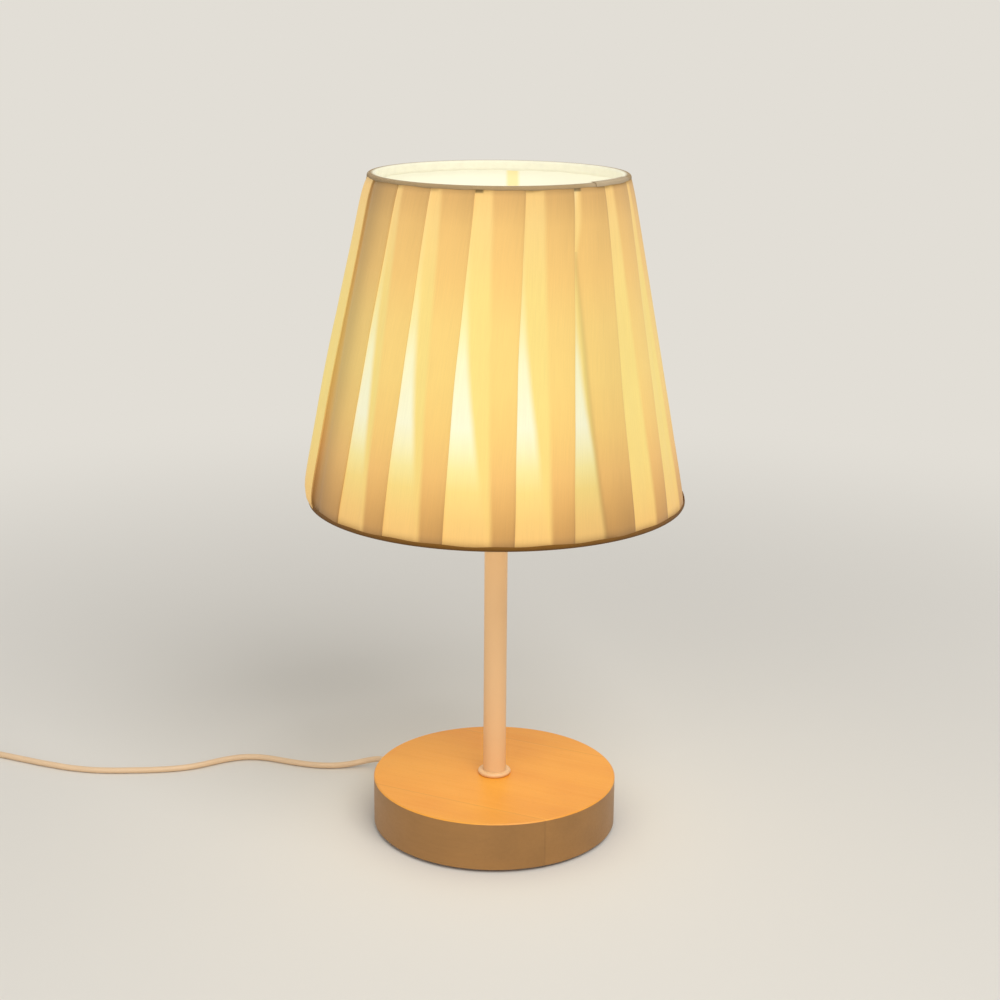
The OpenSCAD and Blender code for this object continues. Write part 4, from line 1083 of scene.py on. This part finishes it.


# A rim's tape. side is 1 at the lower rim and -1 at the upper, shows is the width outside, end_at is in
# degrees from +X, laps is the length that lies double, and the last field is painted light and shade
# that lightens or darkens the outer edge
Tape = namedtuple("Tape", "name node ring side shows end_at laps edge_gain")
UPPER_TAPE = Tape("upper_tape", "top_tape", "top_ring", -1, 1.6 * MM, -20, 30 * MM, -0.12)
LOWER_TAPE = Tape("lower_tape", "bottom_tape", "bottom_ring", 1, 2.2 * MM, 118, 10 * MM, 0.55)
TAPE_THICK = 0.4 * MM
TAPE_SKIN = 0.05 * MM
TAPE_LIFT = 0.5 * MM
TAPE_STEPS = 240
# A tape's cross-section: its corners' radius, its reach down the inside, and where its points lie
TAPE_CORNER = 1 * MM
TAPE_INNER = 5 * MM
OUTER_STATIONS = (0, 1 / 3, 2 / 3)
INNER_STATIONS = (0.4, 0.7, 1)
CORNER_STEPS = 4
# How a tape's outer edge wavers, as (share, waves round the rim, start), and the inner edge's part of it
EDGE_WAVES = ((0.08, 23, 0), (0.06, 9, 1))
INNER_WAVER = 0.35
# A tape's end: how steeply it climbs on the beginning and how far it drops, then the degrees of tape
# beside it that are paler, as a painted highlight, and their share of its paleness
END_CLIMB = 4
END_DROP = 0.25
PALE_BESIDE_END = 10
PALE_SHARE = 0.7


def inner_radius(node):
    """Radius of a tape's inner face, the smallest on its solid."""
    return min(math.hypot(p.co.x, p.co.y) for p in frame["nodes"][node].data.vertices)


def tape_profile(shows, wide):
    """A tape's cross-section from its outer edge over the rim to its inner edge, as (inset, rise)."""
    turns = [math.pi / 2 * k / CORNER_STEPS for k in range(CORNER_STEPS + 1)]
    corner = [(TAPE_CORNER * (1 - math.cos(turn)), TAPE_CORNER * (1 - math.sin(turn))) for turn in turns]
    return [
        *((0.0, mix(shows, TAPE_CORNER, t)) for t in OUTER_STATIONS),
        *corner,
        (wide / 2, 0.0),
        *((wide - inset, rise) for inset, rise in reversed(corner)),
        *((wide, TAPE_INNER * t) for t in INNER_STATIONS),
    ]


def edge_reach(k, last, turn, lifted):
    """How far point k of the profile reaches beside its plain place, at a turn in degrees round the rim."""
    waver = sum(size * math.sin(math.radians(turn) * waves + start) for size, waves, start in EDGE_WAVES)
    part = 1 if k == 0 else INNER_WAVER if k == last else 0
    return 1 + waver * part + (END_DROP * lifted if k < len(OUTER_STATIONS) else 0)


class LAMP_OT_tape_rims(Operator):
    """Fold woven tape round both rims, each with one overlapped end"""

    bl_idname = "lamp.tape_rims"
    bl_label = "Tape Rims"

    def execute(self, context):
        shade = context.scene.lamp_shade
        radius = shade_cone()
        for tape, outside, doubled in (
            (UPPER_TAPE, shade.tape, shade.tape_end), (LOWER_TAPE, shade.lower_tape, shade.lower_tape),
        ):
            self.add_tape(tape, radius, woven_tape(tape, outside, doubled, shade.tape_inside))
        return {"FINISHED"}

    @staticmethod
    def add_tape(tape, radius, weave):
        """Folds one tape over its rim, once round and on over its own beginning."""
        low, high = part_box(tape.node)
        rim_z = low.z if tape.side > 0 else high.z
        wide = radius(rim_z) - inner_radius(tape.node)
        over = math.degrees(tape.laps / radius(rim_z))
        profile = tape_profile(tape.shows, wide)
        past_edge = list(accumulate((math.dist(a, b) for a, b in pairwise(profile)), initial=0.0))
        rows = []
        numbers = {"along": [], "width": [], "doubled": []}
        for k, (inset, rise) in enumerate(profile):
            row = []
            for s in range(TAPE_STEPS + 1):
                turn = tape.end_at - (360 + over) * s / TAPE_STEPS
                lifted = smooth((tape.end_at - turn - 360) / over * END_CLIMB + 1)
                beside_end = 1 - smooth((tape.end_at - over - turn) / PALE_BESIDE_END)
                z = rim_z + tape.side * rise * edge_reach(k, len(profile) - 1, turn, lifted)
                skin = TAPE_SKIN + TAPE_THICK / 2 - TAPE_LIFT * lifted
                r = radius(z) - inset - (skin if inset < wide / 2 else -skin / 2)
                row.append(polar(r, turn, z + tape.side * skin))
                numbers["along"].append(math.radians(turn) * radius(rim_z))
                numbers["width"].append(past_edge[k])
                numbers["doubled"].append(max(lifted, PALE_SHARE * beside_end))
            rows.append(row)
        mesh = grid_mesh(tape.name, rows, False, numbers)
        piece = add_piece(tape.name, mesh, weave, "shade", [tape.node])
        thicken(piece, TAPE_THICK)
        run = math.radians(360 + over) * (radius(rim_z) - wide / 2)


# How much paler the rocker is than its switch
ROCKER_GAIN = 1.08


class LAMP_OT_finish_switch(Operator):
    """Finish the inline switch and the plug"""

    bl_idname = "lamp.finish_switch"
    bl_label = "Finish Switch and Plug"

    def execute(self, context):
        plastic = context.scene.lamp_finish.plastic
        paler = [min(1.0, c * ROCKER_GAIN) for c in plastic]
        dress("switch_plastic", moulded, plastic, roughness=0.34)
        dress("rocker_plastic", moulded, paler, roughness=0.24, grain=0.01 * MM)
        dress("plug_plastic", moulded, plastic, roughness=0.46, grain=0.04 * MM)
        return {"FINISHED"}


# The studio in metres: where the lamps stand, the sides of their squares and the point that they face
KEY_PLACE = Vector((0.8, -1.5, 2.1))
KEY_SIZE = 1.4
FILL_PLACE = Vector((-0.7, -1.8, 1.0))
FILL_SIZE = 1.6
AIM = Vector((0, 0, 0.17))
FLOOR_RINGS = (0.0005, 0.5, 2, 8, 40)
FLOOR_SIDES = 96
FLOOR_FADES = (0.3, 1.0)
# The glow's disc as a share of the shade's lower ring, and its height above that ring
GLOW_SHARE = 0.8
GLOW_RISE = 8 * MM


class LAMP_OT_set_stage(Operator):
    """Set the pale floor, the soft lamps and the even light from all round"""

    bl_idname = "lamp.set_stage"
    bl_label = "Set Stage"

    def execute(self, context):
        stage = context.scene.lamp_stage
        self.add_floor(stage)
        self.add_world(context.scene, stage)
        self.add_lamp("key", KEY_PLACE, KEY_SIZE, stage.key)
        self.add_lamp("fill", FILL_PLACE, FILL_SIZE, stage.fill)
        self.add_glow(stage)
        context.scene.view_settings.view_transform = "Standard"
        return {"FINISHED"}

    @staticmethod
    def pale_rays(nodes):
        """1 for the rays that show the background: seen directly, mirrored or through glass."""
        seen, mirrored, through = (
            nodes.add("ShaderNodeLightPath", output=f"Is {kind} Ray")
            for kind in ("Camera", "Glossy", "Transmission")
        )
        return (seen + mirrored + through).at_most(1.0)

    def add_floor(self, stage):
        """A wide floor whose far part fades into the pale background."""
        rows = [[polar(r, 360 * k / FLOOR_SIDES, 0) for k in range(FLOOR_SIDES)] for r in FLOOR_RINGS]
        mesh = grid_mesh("floor", rows, True, {})
        f = Finish("floor")
        cloudy = f.tone(stage.floor, 0.985 + f.noise(f.place(), scale=3) * 0.03)
        x, y = f.parts(f.place())[:2]
        far = (x * x + y * y).root().rises(*FLOOR_FADES)
        matt = f.add(
            "ShaderNodeBsdfPrincipled",
            inputs={"Base Color": cloudy, "Roughness": 0.75, "Specular IOR Level": 0.2},
        )
        pale = f.add("ShaderNodeEmission", inputs={"Color": opaque(stage.floor), "Strength": 1.0})
        both = f.add("ShaderNodeMixShader", inputs={0: far * self.pale_rays(f), 1: matt, 2: pale})
        f.add("ShaderNodeOutputMaterial", inputs={"Surface": both})
        mesh.materials.append(f.material)
        new_object("floor", mesh)

    def add_world(self, scene, stage):
        world = bpy.data.worlds.new("studio")
        world.use_nodes = True
        scene.world = world
        n = Nodes(world.node_tree)
        light = n.add("ShaderNodeBackground", inputs={"Color": (1, 1, 1, 1), "Strength": stage.ambient})
        pale = n.add("ShaderNodeBackground", inputs={"Color": opaque(stage.floor), "Strength": 1.0})
        both = n.add("ShaderNodeMixShader", inputs={0: self.pale_rays(n), 1: light, 2: pale})
        n.add("ShaderNodeOutputWorld", inputs={"Surface": both})

    @staticmethod
    def add_lamp(name, at, size, share_given):
        """A square area lamp that lights a white surface facing it to share_given of white."""
        lamp = bpy.data.lights.new(name, "AREA")
        lamp.size = size
        lamp.energy = math.pi ** 2 * (at - AIM).length_squared * share_given
        hung = new_object(name, lamp)
        hung.location = at
        hung.rotation_euler = (AIM - at).to_track_quat("-Z", "Y").to_euler()

    @staticmethod
    def add_glow(stage):
        """The bulb's light that falls out of the shade's lower mouth."""
        low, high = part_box("bottom_ring")
        lamp = bpy.data.lights.new("bulb_glow", "AREA")
        lamp.shape = "DISK"
        lamp.size = (high.x - low.x) * GLOW_SHARE
        lamp.color = stage.glow_colour
        lamp.energy = math.pi * (math.pi * lamp.size ** 2 / 4) * stage.glow
        hung = new_object("bulb_glow", lamp)
        hung.location = (0, 0, high.z + GLOW_RISE)
        hung.visible_camera = False


class LAMP_PT_pieces(Panel):
    """Lists the lamp's pieces and their settings"""

    bl_idname = "LAMP_PT_pieces"
    bl_label = "Table Lamp"
    bl_space_type = "VIEW_3D"
    bl_region_type = "UI"
    bl_category = "Lamp"

    def draw(self, context):
        for name, group in SETTINGS.items():
            box = self.layout.box()
            for key in group.__annotations__:
                box.prop(getattr(context.scene, name), key)
        for step in STEPS:
            self.layout.operator(step.bl_idname)


SETTINGS = {
    "lamp_cord": LampCordSettings,
    "lamp_wood": LampWoodSettings,
    "lamp_shade": LampShadeSettings,
    "lamp_finish": LampFinishSettings,
    "lamp_stage": LampStageSettings,
}
STEPS = (
    LAMP_OT_place_camera,
    LAMP_OT_lay_cord,
    LAMP_OT_finish_base,
    LAMP_OT_finish_pole,
    LAMP_OT_finish_holder,
    LAMP_OT_finish_bulb,
    LAMP_OT_finish_shade_frame,
    LAMP_OT_pleat_shade,
    LAMP_OT_tape_rims,
    LAMP_OT_finish_switch,
    LAMP_OT_set_stage,
)


def register():
    for cls in (*SETTINGS.values(), *STEPS, LAMP_PT_pieces):
        bpy.utils.register_class(cls)
    for name, group in SETTINGS.items():
        setattr(bpy.types.Scene, name, PointerProperty(type=group))


def unregister():
    for name in SETTINGS:
        delattr(bpy.types.Scene, name)
    for cls in reversed((*SETTINGS.values(), *STEPS, LAMP_PT_pieces)):
        bpy.utils.unregister_class(cls)


def main():
    register()
    for step in STEPS:
        group, name = step.bl_idname.split(".")
        getattr(getattr(bpy.ops, group), name)()


if __name__ == "__main__":
    main()
